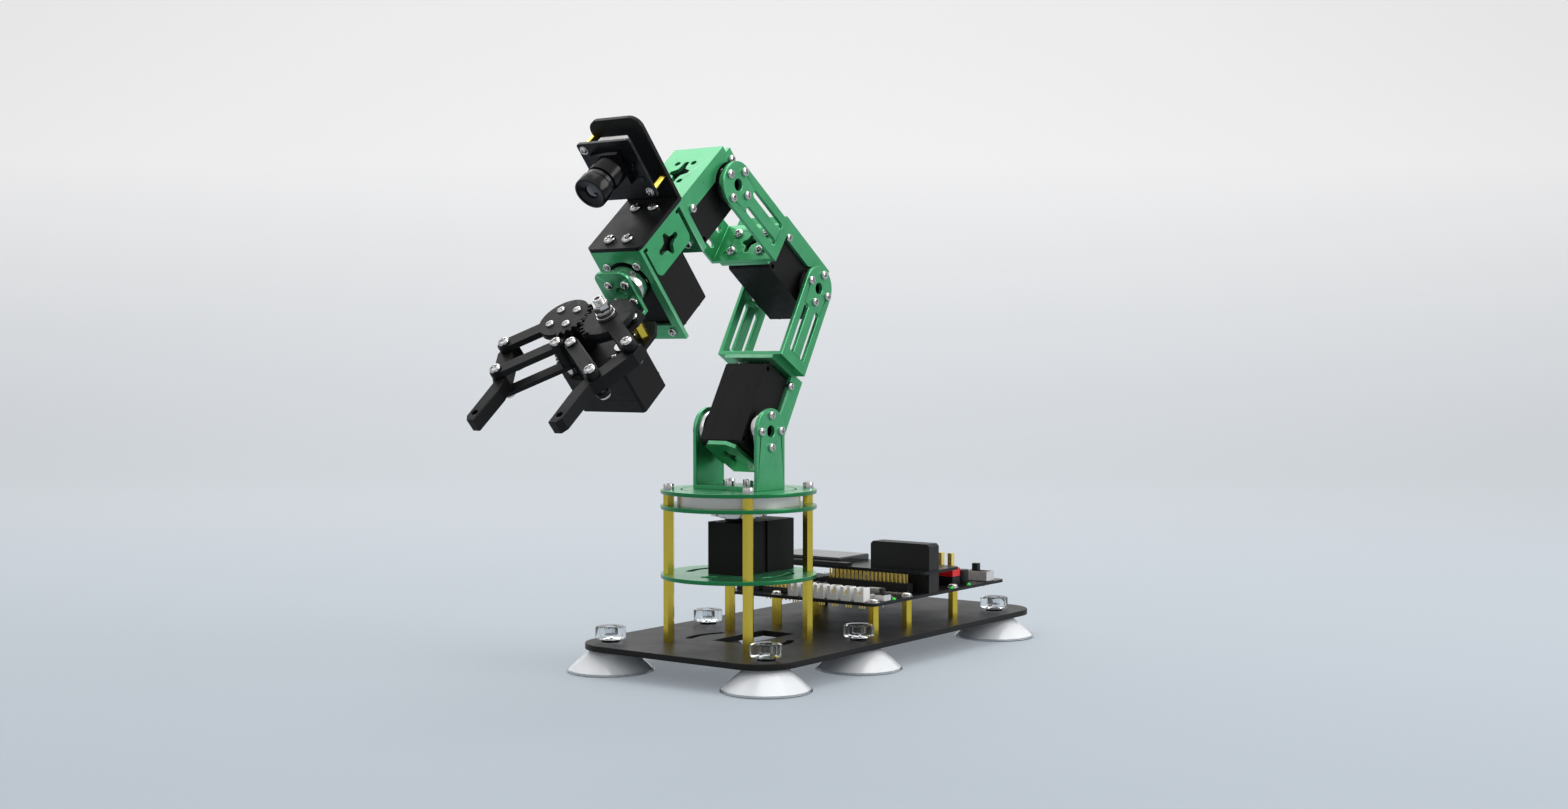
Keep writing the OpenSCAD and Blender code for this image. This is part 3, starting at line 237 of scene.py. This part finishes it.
def with_painted_shade(m, name, shade_colour, kind, centre=None, r=0.0, rough=None):
    """copy of a material with painted shade: a darker tone on side walls ("rim") or a black, non-metal disc inside a
    bore along x ("bore") where the hole lies in shade
    """
    m = m.copy(); m.name = name
    ns, lk = m.node_tree.nodes, m.node_tree.links; p = ns["Principled BSDF"]
    if kind == "rim":
        ge = ns.new("ShaderNodeNewGeometry"); sp = ns.new("ShaderNodeSeparateXYZ"); lk.new(ge.outputs["Normal"], sp.inputs[0])
        ab = ns.new("ShaderNodeMath"); ab.operation = "ABSOLUTE"; lk.new(sp.outputs["Z"], ab.inputs[0]); val, lim = ab.outputs[0], 0.6
    else:
        tc = ns.new("ShaderNodeTexCoord"); su = ns.new("ShaderNodeVectorMath"); su.operation = "SUBTRACT"; su.inputs[1].default_value = centre
        mu = ns.new("ShaderNodeVectorMath"); mu.operation = "MULTIPLY"; mu.inputs[1].default_value = (0, 1, 1)
        le = ns.new("ShaderNodeVectorMath"); le.operation = "LENGTH"
        lk.new(tc.outputs["Object"], su.inputs[0]); lk.new(su.outputs[0], mu.inputs[0]); lk.new(mu.outputs[0], le.inputs[0]); val, lim = le.outputs["Value"], r
    lt = ns.new("ShaderNodeMath"); lt.operation = "LESS_THAN"; lt.inputs[1].default_value = lim; lk.new(val, lt.inputs[0])
    mx = ns.new("ShaderNodeMix"); mx.data_type = "RGBA"; mx.inputs["B"].default_value = (*shade_colour, 1)
    lk.new(lt.outputs[0], mx.inputs["Factor"]); lk.new(p.inputs["Base Color"].links[0].from_socket, mx.inputs["A"]); lk.new(mx.outputs["Result"], p.inputs["Base Color"])
    # bore: the black, non-metal disc is painted shade standing in for the dark hole
    if kind == "bore":
        me = ns.new("ShaderNodeMath"); me.operation = "SUBTRACT"; me.inputs[0].default_value = 1.0; me.use_clamp = True
        lk.new(lt.outputs[0], me.inputs[1]); lk.new(me.outputs[0], p.inputs["Metallic"])
    return m
# painted shade: the side walls of the tower and turntable discs are a darker green
M_DISC_RIM_SHADE = with_painted_shade(MAT["green_metal"], "green_disc_painted_rim_shade", (0.004, 0.17, 0.05), "rim")

SLOT = {s["node"]: s["material_slot"] for s in frame["record"]["subparts"]}
for name, o in frame["nodes"].items():
    m = MAT["race_steel"] if name in ("table_bearing", "turntable") else M_BASE if name == "base_plate" else MAT[SLOT[name]]
    if name in ("tower_discs", "turntable_disc"): m = M_DISC_RIM_SHADE
    # painted shade: the horns' centre bores are coloured black so the holes read dark
    if name in ("shoulder_horns", "elbow_horns", "wrist_horns"):
        c = o.matrix_world.inverted() @ ({"shoulder_horns": S, "elbow_horns": E, "wrist_horns": W}[name] / 1000)
        m = with_painted_shade(m, name + "_steel", (0.002, 0.002, 0.002), "bore", c, 0.00296)
    o.data.materials.clear(); o.data.materials.append(m)
    w = o.modifiers.new("weld", "WELD"); w.merge_threshold = 2e-6
    fine = name in ("header_pins", "gear_screws", "table_bearing")
    if not fine and not name.endswith("screws") and not name.endswith("motor"):
        b = o.modifiers.new("edge", "BEVEL")
        b.width = {"green_metal": 0.28, "servo_plastic": 0.35, "black_metal": 0.28, "clear_pvc": 0.15}.get(SLOT[name], 0.16) / 1000
        b.segments, b.limit_method, b.angle_limit, b.use_clamp_overlap = 2, "ANGLE", rad(38), True
        b.harden_normals = False

# ------------------------------------------------------------------ screws with real recesses
def pan_head(hr, hh):
    prof = [(0, 0), (hr * 0.97, 0), (hr, hh * 0.08), (hr, hh * 0.42), (hr * 0.965, hh * 0.6), (hr * 0.88, hh * 0.78), (hr * 0.74, hh * 0.9), (hr * 0.52, hh * 0.98), (0, hh)]
    w, l, d = hr * 0.17, hr * 0.62, hh * 0.62
    def arm(a):
        pts = [(-l, -w, hh - d * 0.15), (l, -w, hh - d * 0.15), (l, w, hh - d * 0.15), (-l, w, hh - d * 0.15)]
        bot = [(-l * 0.45, -w * 0.7, hh - d), (l * 0.45, -w * 0.7, hh - d), (l * 0.45, w * 0.7, hh - d), (-l * 0.45, w * 0.7, hh - d)]
        top = [(-l, -w, hh + 1), (l, -w, hh + 1), (l, w, hh + 1), (-l, w, hh + 1)]
        v = [tuple(R(a, "Z") @ Vector(q)) for q in bot + pts + top]
        f = [(3, 2, 1, 0), (8, 9, 10, 11)]
        for k in (0, 4): f += [(k + i, k + (i + 1) % 4, k + 4 + (i + 1) % 4, k + 4 + i) for i in range(4)]
        return v, f
    return boolean(lathe(prof, 32), [arm(0), arm(90)])
def cap_head(hr, hh):
    prof = [(0, 0), (hr, 0), (hr, hh * 0.88), (hr * 0.93, hh), (0, hh)]
    return boolean(lathe(prof, 32), [prism(ngon(hr * 0.52, 6), hh - 1.5, hh + 1)])
_heads = {}
def screw(g, M, l, r=1.45, hr=2.6, hh=1.9, cap=False, shank=True):
    key = (round(hr, 2), round(hh, 2), cap)
    if key not in _heads: _heads[key] = cap_head(hr, hh) if cap else pan_head(hr, hh)
    c = M.translation
    spin = (math.sin(c.x * 12.9898 + c.y * 78.233 + c.z * 37.719) * 43758.5453) % 1.0
    M = M @ R(360 * spin, "Z")
    g.add(_heads[key], M)
    if shank: g.add(lathe([(0, -l), (r * 0.8, -l), (r, -l + 0.4), (r, 0.2), (0, 0.2)], 20), M)
UPX = R(90, "Y"); DNX = R(-90, "Y"); UPY = R(-90, "X"); DNY = R(90, "X"); DNZ = R(180, "X")
def ear_screws(g, M):
    for s in (1, -1):
        for a in (0, 90, 180, 270):
            screw(g, M @ R(a, "X") @ T((s * EARX, 0, 8)) @ (UPX if s > 0 else DNX), 4.2, 1.2, 2.3, 1.7)
def cage_screws(g, M):
    for s in (1, -1):
        for z in (-9, 30.5): screw(g, M @ T((s * 15, 9, z)) @ (UPX if s > 0 else DNX), 4.5, 1.2, 2.2, 1.7)
def link_base(g, M, z0=39.5):
    for x in (-9, 9):
        for y in (-5.6, 5.6): screw(g, M @ T((x, y, z0)), 3.9)

ST = MAT["bright_steel"]
g = Geo()
for x in (-COL, COL):
    for y in (-COL, COL):
        screw(g, T((x, y, 11.5)) @ DNZ, 9)
        screw(g, T((x, y, 90.6)), 5, 1.45, 2.75, 3, cap=True)
for x, y in POSTS:
    screw(g, T((x, y, 11.5)) @ DNZ, 8); screw(g, T((x, y, 31)), 5)
for x in (-9, 9):
    for y in (-9, 30.5): screw(g, T((x, y, 46.4)) @ DNZ, 5, 1.2, 2.3, 1.7)
g.obj("base_screw_set", ST, "base", "bright_steel", rep=("base_screws",))
g = Geo(); ear_screws(g, T(S))
for a in (0, 90, 180, 270): screw(g, R(a, "Z") @ T((7, 0, 92.6)), 13.2, 1.2, 2.2, 2.4, cap=True)
for a in (0, 180): screw(g, R(a, "Z") @ T((12.5, 0, 90.6)), 6, 1.28, 2.4, 1.6)
g.obj("shoulder_screw_set", ST, "waist", "bright_steel", rep=("shoulder_screws",))
for nm, M, body in (("upper_arm", ARM_S, "upper_arm"), ("forearm", ARM_E, "forearm")):
    g = Geo(); cage_screws(g, M); link_base(g, M); ear_screws(g, M @ T((0, 0, L)))
    g.obj(nm + "_screw_set", ST, body, "bright_steel", rep=(nm + "_screws",))
g = Geo(); cage_screws(g, ARM_W); link_base(g, ARM_W, 37.5)
for x in (-9, 9):
    for y in (9, -30.5): screw(g, ARM_W @ T((x, y, 73.5)), 6, 1.2, 2.2, 1.6)
for x in (-5.4, 5.4):
    for z in (43.2, 67.6): screw(g, ARM_W @ T((x, 19.5, z)) @ UPY, 4.6, 1.45, 2.9, 2)
CAMP = ((-13, 57), (13, 32))
for x, y in CAMP: screw(g, ARM_W @ T((x, y, 48)), 3, 0.9, 1.7, 1.2)
g.obj("wrist_screw_set", ST, "hand", "bright_steel", rep=("wrist_screws",))
FP = [(20.4, 101.8), (11, 94)]
g = Geo()
for a in (45, 135, 225, 315): screw(g, ARM_W @ R(a, "Z") @ T((7, 0, 82)), 4.6, 1.2, 2.2, 1.6)
for x, z in FP:
    screw(g, ARM_W @ T((x, 1, z)) @ UPY, 4); screw(g, ARM_W @ T((x, -12.5, z)) @ DNY, 4.4, 1.45, 2.6, 1.6)
for x in (-20.7, 12.4):
    for z in (100.4, 116.4): screw(g, ARM_W @ T((x, -10.5, z)) @ UPY, 6, 1.2, 2.2, 1.2)
for x, z in ((21.3, 114.2), (14.8, 133.6)): screw(g, ARM_W @ T((x, -12.5, z)) @ DNY, 1.9, 1.45, 3.0, 2.2)
for x in (-9, 1.5): screw(g, ARM_W @ T((x, -12.5, 93.4)) @ DNY, 3.9, 1.45, 2.4, 1.6)
for x in (-8, 3.5): screw(g, ARM_W @ T((x, -12.5, 85.5)) @ DNY, 3.9, 1.45, 2.6, 1.7)
for x in (-PX, PX):
    screw(g, ARM_W @ T((x, 7.8, PZ)) @ UPY, 18.3, 1.95, 2.8, 1.9); screw(g, ARM_W @ T((x, -12.5, PZ)) @ DNY, 2.5, 1.5, 2.8, 1.7)
Mb = ARM_W @ T((GX, 0, GZ)) @ UPY
thr = [(2.5, 14.9)]
for k in range(6): thr += [(2.5, 15.0 + k * 0.42), (2.3, 15.15 + k * 0.42), (2.3, 15.27 + k * 0.42), (2.5, 15.42 + k * 0.42)]
g.add(lathe([(0, -12.5), (2.5, -12.5)] + thr + [(2.1, 18.0), (1.4, 18.0), (1.4, 16.0), (0, 16.0)], 32), Mb)
g.add(lathe([(2.5, 9.1), (4.2, 9.1), (4.2, 11.0), (2.5, 11.0)], 40, True), Mb)
g.add(lathe([(2.5, 7.8), (4.6, 7.8), (4.6, 9.1), (2.5, 9.1)], 40, True), Mb)
g.add(lathe([(2.5, -10.5), (4.4, -10.5), (4.4, -8.9), (2.5, -8.9)], 40, True), Mb)
def nut(ro, ri, z0, z1):
    c = 0.45; v, f = [], []
    for z, k in ((z0, 0.93), (z0 + c, 1), (z1 - c, 1), (z1, 0.93)): v += [(x * k, y * k, z) for x, y in ngon(ro, 6)]
    for k in range(3): f += [(6 * k + i, 6 * k + (i + 1) % 6, 6 * k + 6 + (i + 1) % 6, 6 * k + 6 + i) for i in range(6)]
    return v, f + [(5, 4, 3, 2, 1, 0), (18, 19, 20, 21, 22, 23)]
g.add(nut(3.9, 2.5, 11.0, 15.0), Mb)
g.obj("gripper_screw_set", ST, "gripper_base", "bright_steel", rep=("gripper_screws",))
g = Geo()
for a in (45, 135, 225, 315): screw(g, ARM_W @ T((-GX, 7.5, GZ)) @ UPY @ R(a, "Z") @ T((7, 0, 0)), 14.6, 1.2, 2.1, 1.1)
g.obj("gear_screw_set", ST, "drive_gear", "bright_steel", rep=("gear_screws",))
for s, nm in ((-1, "left"), (1, "right")):
    g = Geo()
    for i, p in enumerate((A(s), B(s))):
        low = -2.4 if (s > 0 and i == 0) else -6.0
        screw(g, ARM_W @ T((p[0], 7.8, p[1])) @ UPY, 7.8 - low + 0.3, 2.0, 2.8, 1.9)
        g.add(lathe([(0, low - 1.5), (2.2, low - 1.5), (2.5, low - 1.2), (2.5, low - 0.3), (0, low - 0.3)], 28), ARM_W @ T((p[0], 0, p[1])) @ UPY)
    g.obj(nm + "_finger_pin_set", ST, nm + "_finger_set", "bright_steel", rep=(nm + "_finger_pins",))

# ------------------------------------------------------------------ servo trim: parting lines, corner screws, shaft collars
def servo_trim(nm, M, body, idler=True, v=SV, d=SD, u=SU, h=SX, seams=True):
    g = Geo()
    def ring(x0, x1, o):  # a faint raised seam round the case
        out = rrect(-v - o, -d - o, v + o, u + o, 1.3, 5); inn = rrect(-v + 0.4, -d + 0.4, v - 0.4, u - 0.4, 0.8, 5)
        n = len(out); q = [(x0, y, z) for y, z in out] + [(x1, y, z) for y, z in out] + [(x0, y, z) for y, z in inn] + [(x1, y, z) for y, z in inn]
        f = []
        for i in range(n):
            j = (i + 1) % n
            f += [(i, j, n + j, n + i), (2 * n + j, 2 * n + i, 3 * n + i, 3 * n + j), (n + i, n + j, 3 * n + j, 3 * n + i), (j, i, 2 * n + i, 2 * n + j)]
        return q, f
    if seams:
        g.add(ring(6.2, 6.55, 0.05), M); g.add(ring(-7.3, -7.0, 0.05), M)
        g.obj(nm + "_seams", MAT["servo_plastic"], body, "servo_plastic", bevel=0.04)
    g = Geo()
    for s in (1, -1):  # turned collar round each shaft
        if s < 0 and not idler: continue
        g.add(lathe([(3.2, 1.55), (3.2, 1.68), (6.3, 1.68), (6.6, 1.55), (6.6, 0.4), (7.2, 0.02), (7.2, -0.2), (3.2, -0.2)], 40, True), M @ T((s * h, 0, 0)) @ (UPX if s > 0 else DNX))
    if not idler:  # four case screws sunk in the closed end
        for z in (3 - d, u - 2.5):
            for y in (2 - v, v - 2): g.add(lathe([(0, -0.6), (1.15, -0.6), (1.15, -0.05), (1.3, 0.06), (1.0, 0.12), (0, 0.12)], 20), M @ T((-h, y, z)) @ DNX)
    g.obj(nm + "_collars", M_LABEL, body, "servo_plastic")
servo_trim("waist_servo", WAIST, "base", False, seams=False)
servo_trim("shoulder_servo", ARM_S, "upper_arm")
servo_trim("elbow_servo", ARM_E, "forearm")
servo_trim("wrist_servo", ARM_W, "hand")
servo_trim("roll_servo", ROLL, "hand", False)
servo_trim("gripper_servo", GRIP, "gripper_base", False, 10, 10.5, 28.1, 14.5)

# ------------------------------------------------------------------ suction cups: soft skirt and clear moulded knob
knob = lathe([(0, 12.2), (4.45, 12.2), (4.5, 15.9), (4.9, 16.15), (7.0, 16.2), (7.45, 16.4), (7.65, 16.9), (7.65, 21.5), (7.45, 22.0), (7.0, 22.2), (3.4, 22.2), (3.05, 21.9), (3.0, 18.3), (2.7, 18.0), (0, 18.0)], 72)
cut = lathe([(0, 14.8), (0.95, 14.8), (0.95, 24), (0, 24)], 20)
knob = boolean(knob, [([tuple(R(a, "Z") @ Vector((8.15 + x, y, z))) for x, y, z in cut[0]], cut[1]) for a in range(0, 360, 45)])
g, gk = Geo(), Geo()
for x, y in CUPS:
    g.add(lathe([(0, 7.5), (4, 7.2), (8, 6.2), (12, 4.9), (15, 3.6), (18.5, 1.8), (20.6, 0.45), (21.3, 0.3), (21.3, 1.1), (19.5, 2.8), (16.5, 5.5), (13.5, 8.1), (10.8, 10.4), (10.1, 10.95), (9.4, 11.4), (4.5, 11.45), (4.5, 12.1), (0, 12.1)], 96), T((x, y, 0)))
    gk.add(knob, T((x, y, 0)) @ R(x + y, "Z"))
    gk.add(lathe([(20.9, 0.25), (21.3, 0.0), (21.8, 0.0), (22, 0.2), (22, 0.6), (21.7, 0.95), (21.32, 1.3), (21.31, 0.28)], 96, True), T((x, y, 0)))
g.obj("suction_cup_skirts", M_MILK, "base", "clear_pvc", rep=("suction_cups",), smooth=40)
gk.obj("suction_cup_knobs", MAT["clear_pvc"], "base", "clear_pvc", bevel=0.12, smooth=40)

# ------------------------------------------------------------------ electronics detail
rnd = random.Random(7)
g, gl, gc, gt = Geo(), Geo(), Geo(), Geo()
def chip(x0, y0, x1, y1, z, h, M=None, leads=True):
    g.add(box((x0, y0, z + 0.12), (x1, y1, z + h)), M)
    if leads:
        n = int((x1 - x0 - 0.6) / 1.27)
        for i in range(n + 1):
            x = x0 + 0.4 + i * 1.27
            for y, sgn in ((y0, -1), (y1, 1)):
                gl.add(box((x, min(y, y + sgn * 0.9), z), (x + 0.42, max(y, y + sgn * 0.9), z + 0.28)), M)
def smd(x, y, z, w, d, h, M=None):
    gc.add(box((x - w * 0.32, y - d / 2, z), (x + w * 0.32, y + d / 2, z + h)), M)
    for s in (-1, 1): gl.add(box((x + s * w * 0.5 - w * 0.19, y - d / 2 - 0.03, z - 0.0), (x + s * w * 0.5 + w * 0.19, y + d / 2 + 0.03, z + h + 0.03)), M)
chip(6, 66, 22, 74, 31, 2.0); chip(-8, 70, 2, 80, 31, 1.6); chip(26, 70, 36, 78, 31, 2.2); chip(-36, 74, -24, 84, 31, 1.8); chip(14, 146, 26, 154, 31, 2.0); chip(-20, 150, -8, 160, 31, 1.8); chip(-2, 166, 12, 176, 31, 2.4)
for i in range(46):
    x, y = rnd.uniform(-44, 44), rnd.choice((rnd.uniform(60, 90), rnd.uniform(150, 180)))
    if any(abs(x - p[0]) < 5 and abs(y - p[1]) < 5 for p in POSTS) or (27 < x < 49 and y > 135) or (-48 < x < -8 and y < 68): continue
    smd(x, y, 31, 1.6, 0.9, 0.6)
for i in range(16): smd(-1 + i * 2.6, 62.5, 31, 1.5, 0.8, 0.55)
for i in range(14): smd(-6 + i * 3.4, 91.4, 31, 1.8, 1.0, 0.7)
for i in range(20): smd(-50 + i * 2.9, 100.9 if i % 2 else 133.0, 42.8, 1.4, 0.8, 0.6) if -50 + i * 2.9 < 8 and not (97 < 100.9 < 103) else None
g.add(box((-46, 160, 31), (-32, 172, 37.5))); g.add(box((-44.6, 171, 32.2), (-33.4, 172.3, 36.6)))
o1 = g.obj("board_chips", M_CHIP, "base", "part_black", bevel=0.12)
gc.obj("board_chip_parts", M_CER, "base", "part_black", bevel=0.05)
for i in range(6):  # tin tails of the sockets and headers under the board
    for k in range(3): gl.add(lathe([(0, -1.5), (0.28, -1.35), (0.32, -0.35), (0.75, 0), (0, 0.02)], 10), T((-3.9 + i * 8.4 + (k - 1) * 1.5, 54.2, 29.38)))
for i in range(20):
    for j in (0, 1): gl.add(lathe([(0, -1.4), (0.26, -1.3), (0.3, -0.3), (0.7, 0), (0, 0.02)], 8), T((-10.2 + i * 2.54, 95.3 + 2.54 * j, 29.38)))
for i in range(7):
    for j in range(3): gl.add(lathe([(0, -1.4), (0.26, -1.3), (0.3, -0.3), (0.7, 0), (0, 0.02)], 8), T((-26.3 + i * 2.54, 58.8 + 2.54 * j, 29.38)))
for x, y in ((32, 142), (38.4, 142), (35, 170), (39, 170), (43, 170), (43, 62), (46, 62), (39.5, 150.2), (42.5, 150.2)):
    gl.add(lathe([(0, -1.6), (0.4, -1.4), (0.45, -0.3), (0.95, 0), (0, 0.02)], 10), T((x, y, 29.38)))
gl.obj("board_solder", M_TIN, "base", "gold_pin")
for p in POSTS:  # plated lands round the fixing holes
    gt.add(lathe([(1.7, 31.0), (3.1, 31.0), (3.1, 31.04), (1.7, 31.04)], 28, True), T((p[0], p[1], 0)))
# metal shells: slide switch, small socket by the button, crystal
def shell(x0, y0, x1, y1, z0, z1, wall=0.35):
    out, inn = [(x0, y0), (x1, y0), (x1, y1), (x0, y1)], [(x0 + wall, y0 + wall), (x1 - wall, y0 + wall), (x1 - wall, y1 - wall), (x0 + wall, y1 - wall)]
    v = [(x, y, z) for z in (z0, z1) for x, y in out] + [(x, y, z) for z in (z0, z1) for x, y in inn]
    f = []
    for i in range(4):
        j = (i + 1) % 4
        f += [(i, j, 4 + j, 4 + i), (8 + j, 8 + i, 12 + i, 12 + j), (4 + i, 4 + j, 12 + j, 12 + i), (j, i, 8 + i, 8 + j)]
    return v, f
gt.add(shell(32.8, 165.8, 47.2, 174.2, 31.3, 36.5)); gt.add(box((37.2, 60.2, 31), (41, 66.4, 33.8))); gt.add(box((22, 83, 31), (31, 87, 34.2)))
gt.add(shell(41.3, 60.3, 47.7, 66.7, 31.2, 34.2))
gt.obj("board_metal", M_TIN, "base", "bright_steel", bevel=0.12)
g = Geo()
for x, y in ((47.2, 70.5), (47.0, 128.5), (46.6, 147.4)): g.add(box((x - 0.6, y - 1.0, 31), (x + 0.6, y + 1.0, 31.8))); g.add(box((x - 0.4, y - 0.6, 31.7), (x + 0.4, y + 0.6, 32.1)))
g.obj("board_leds", M_LED, "base", "part_black", bevel=0.15)

# camera board detail
g, gl = Geo(), Geo()
def cbox(gg, a, b): gg.add(box(a, b), ARM_W)
for a, b in (((-13, 36, 44.9), (-4, 43, 46.4)), ((1, 34, 45.2), (8, 39, 46.4)), ((11.2, 38, 48), (13.6, 40.4, 48.6))): cbox(g, a, b)
g.obj("camera_chips", M_CHIP, "hand", "part_black", bevel=0.1)
for i in range(9):
    cbox(gl, (-12.6 + i * 0.9, 43.2, 46.0), (-12.2 + i * 0.9, 44.1, 46.4)); cbox(gl, (-5.2 + i * 1.55, 58.2, 45.6), (-4.7 + i * 1.55, 59.3, 46.4))
for x, y in CAMP: gl.add(lathe([(1.0, 48), (2.2, 48), (2.2, 48.05), (1.0, 48.05)], 24, True), ARM_W @ T((x, y, 0)))
gl.obj("camera_solder", M_TIN, "hand", "gold_pin")
g = Geo()  # white plug housing on the back of the board
for a, b in (((-7.2, 53.4, 40.2), (-6.0, 58.4, 46.3)), ((8.0, 53.4, 40.2), (9.2, 58.4, 46.3)), ((-6.4, 53.4, 40.2), (8.4, 54.5, 46.3)), ((-6.4, 57.3, 40.2), (8.4, 58.4, 46.3))): cbox(g, a, b)
g.obj("camera_plug_housing", MAT["white_nylon"], "hand", "white_nylon", bevel=0.15)
g = Geo()
g.add(lathe([(0, 67.4), (3.3, 67.4), (3.3, 67.7), (2.4, 68.15), (1.2, 68.38), (0, 68.45)], 40), ARM_W @ T((0, 47.5, 0)))
g.obj("lens_glass", M_GLASS, "lens", "lens_black")
g = Geo()
prof = [(6.4, 60.35), (7.1, 60.35), (7.3, 60.55), (7.3, 62.5), (7.1, 62.7), (6.7, 62.75), (6.7, 63.3), (7.7, 63.35), (8.0, 63.65), (8.0, 69.3), (7.85, 69.65), (7.55, 69.78), (7.0, 69.78), (6.85, 69.6), (6.85, 69.1), (5.6, 68.8), (3.6, 68.3), (3.4, 67.5), (0, 67.5)]
g.add(lathe(prof, 56), ARM_W @ T((0, 47.5, 0)))
g.add(lathe([(0, 51.6), (4.4, 51.6), (6.0, 51.8), (6.0, 60.5), (6.4, 60.35)], 48), ARM_W @ T((0, 47.5, 0)))
g.obj("lens_body", MAT["lens_black"], "lens", "lens_black", rep=("lens_barrel",), smooth=30)

# ------------------------------------------------------------------ stage and light
me = bpy.data.meshes.new("floor")
ax = Vector((look.x, look.y, 0)).normalized(); side = Vector((ax.y, -ax.x, 0))
prof = [(-4, 0)] + [(1.2, 0)] + [(1.2 + 1.6 * math.sin(rad(t)), 1.6 - 1.6 * math.cos(rad(t))) for t in range(6, 91, 6)] + [(2.8, 5)]
v, f = [], []
for d, z in prof:
    for s in (-6, 6): v.append(tuple(ax * d + side * s + Vector((0, 0, z - 0.0003))))
for i in range(len(prof) - 1): f.append((2 * i, 2 * i + 1, 2 * i + 3, 2 * i + 2))
me.from_pydata(v, [], f); me.polygons.foreach_set("use_smooth", [True] * len(f))
floor = bpy.data.objects.new("floor", me); scene.collection.objects.link(floor)
# the floor's base colour rises towards the back and up the sweep, a painted light falloff on the backdrop; its emission
# (0.8) makes the floor glow and fills the shadows cast on it
fm = mat("pale_floor", (0.218, 0.243, 0.268), 0.7, 0.0, var=0.008, scale=3, bump=0.0, rvar=0.05, spec=0.08)
fn, fl = fm.node_tree.nodes, fm.node_tree.links
ft = fn.new("ShaderNodeTexCoord"); fs = fn.new("ShaderNodeSeparateXYZ"); fr = fn.new("ShaderNodeMapRange"); fx = fn.new("ShaderNodeMix"); fx.data_type = "RGBA"
fl.new(ft.outputs["Object"], fs.inputs[0]); fl.new(fs.outputs["Z"], fr.inputs["Value"]); fr.inputs["From Max"].default_value = 0.5; fr.inputs["To Max"].default_value = 0.7
fd = fn.new("ShaderNodeVectorMath"); fd.operation = "DOT_PRODUCT"; fd.inputs[1].default_value = ax; fl.new(ft.outputs["Object"], fd.inputs[0])
fe = fn.new("ShaderNodeMapRange"); fe.inputs["From Min"].default_value = -0.25; fe.inputs["From Max"].default_value = 1.2; fe.inputs["To Max"].default_value = 0.3
fa = fn.new("ShaderNodeMath"); fa.operation = "ADD"; fl.new(fd.outputs["Value"], fe.inputs["Value"]); fl.new(fe.outputs[0], fa.inputs[0]); fl.new(fr.outputs[0], fa.inputs[1])
fx.inputs["B"].default_value = (0.455, 0.452, 0.452, 1)
src = fn["Principled BSDF"].inputs["Base Color"].links[0].from_socket
fl.new(fa.outputs[0], fx.inputs["Factor"]); fl.new(src, fx.inputs["A"]); fl.new(fx.outputs["Result"], fn["Principled BSDF"].inputs["Base Color"])
fp = fn["Principled BSDF"]; fl.new(fx.outputs["Result"], fp.inputs["Emission Color"]); fp.inputs["Emission Strength"].default_value = 0.8
me.materials.append(fm)
w = bpy.data.worlds.new("w"); scene.world = w; w.use_nodes = True
wn, wl = w.node_tree.nodes, w.node_tree.links
tc = wn.new("ShaderNodeTexCoord"); sz = wn.new("ShaderNodeSeparateXYZ"); wr = wn.new("ShaderNodeValToRGB")
wl.new(tc.outputs["Generated"], sz.inputs[0]); wl.new(sz.outputs["Z"], wr.inputs["Fac"])
wr.color_ramp.elements[0].position, wr.color_ramp.elements[1].position = 0.0, 0.85
wr.color_ramp.elements[0].color = (0.36, 0.375, 0.40, 1); wr.color_ramp.elements[1].color = (1.0, 1.0, 1.0, 1)
wl.new(wr.outputs["Color"], wn["Background"].inputs[0]); wn["Background"].inputs[1].default_value = 1.15
def light(name, loc, target, size, power, color=(1, 1, 1), sy=None):
    l = bpy.data.lights.new(name, "AREA"); l.energy = power; l.size = size; l.color = color
    if sy: l.shape = "RECTANGLE"; l.size_y = sy
    o = bpy.data.objects.new(name, l); scene.collection.objects.link(o); o.location = loc
    o.rotation_mode = "QUATERNION"; o.rotation_quaternion = (Vector(target) - Vector(loc)).to_track_quat("-Z", "Y")
right = Vector((math.cos(az), math.sin(az), 0)); fwd = ax
def P(r, f_, z): return tuple(right * r + fwd * f_ + Vector((0, 0, z)))
light("key", P(1.15, -0.35, 0.75), (0, 0.03, 0.14), 0.8, 8.5)
light("top", P(0.15, 0.1, 1.5), (0, 0, 0.1), 1.1, 6.5)
light("fill", P(-1.1, -0.8, 1.0), (0, 0, 0.15), 1.0, 2.4)
light("rear", P(-0.5, 1.0, 1.3), (0, 0, 0.15), 0.8, 4.0)
light("wash", P(0.0, 0.9, 2.3), P(0.0, 2.7, 1.0), 1.6, 14)
scene.view_settings.view_transform = "Standard"
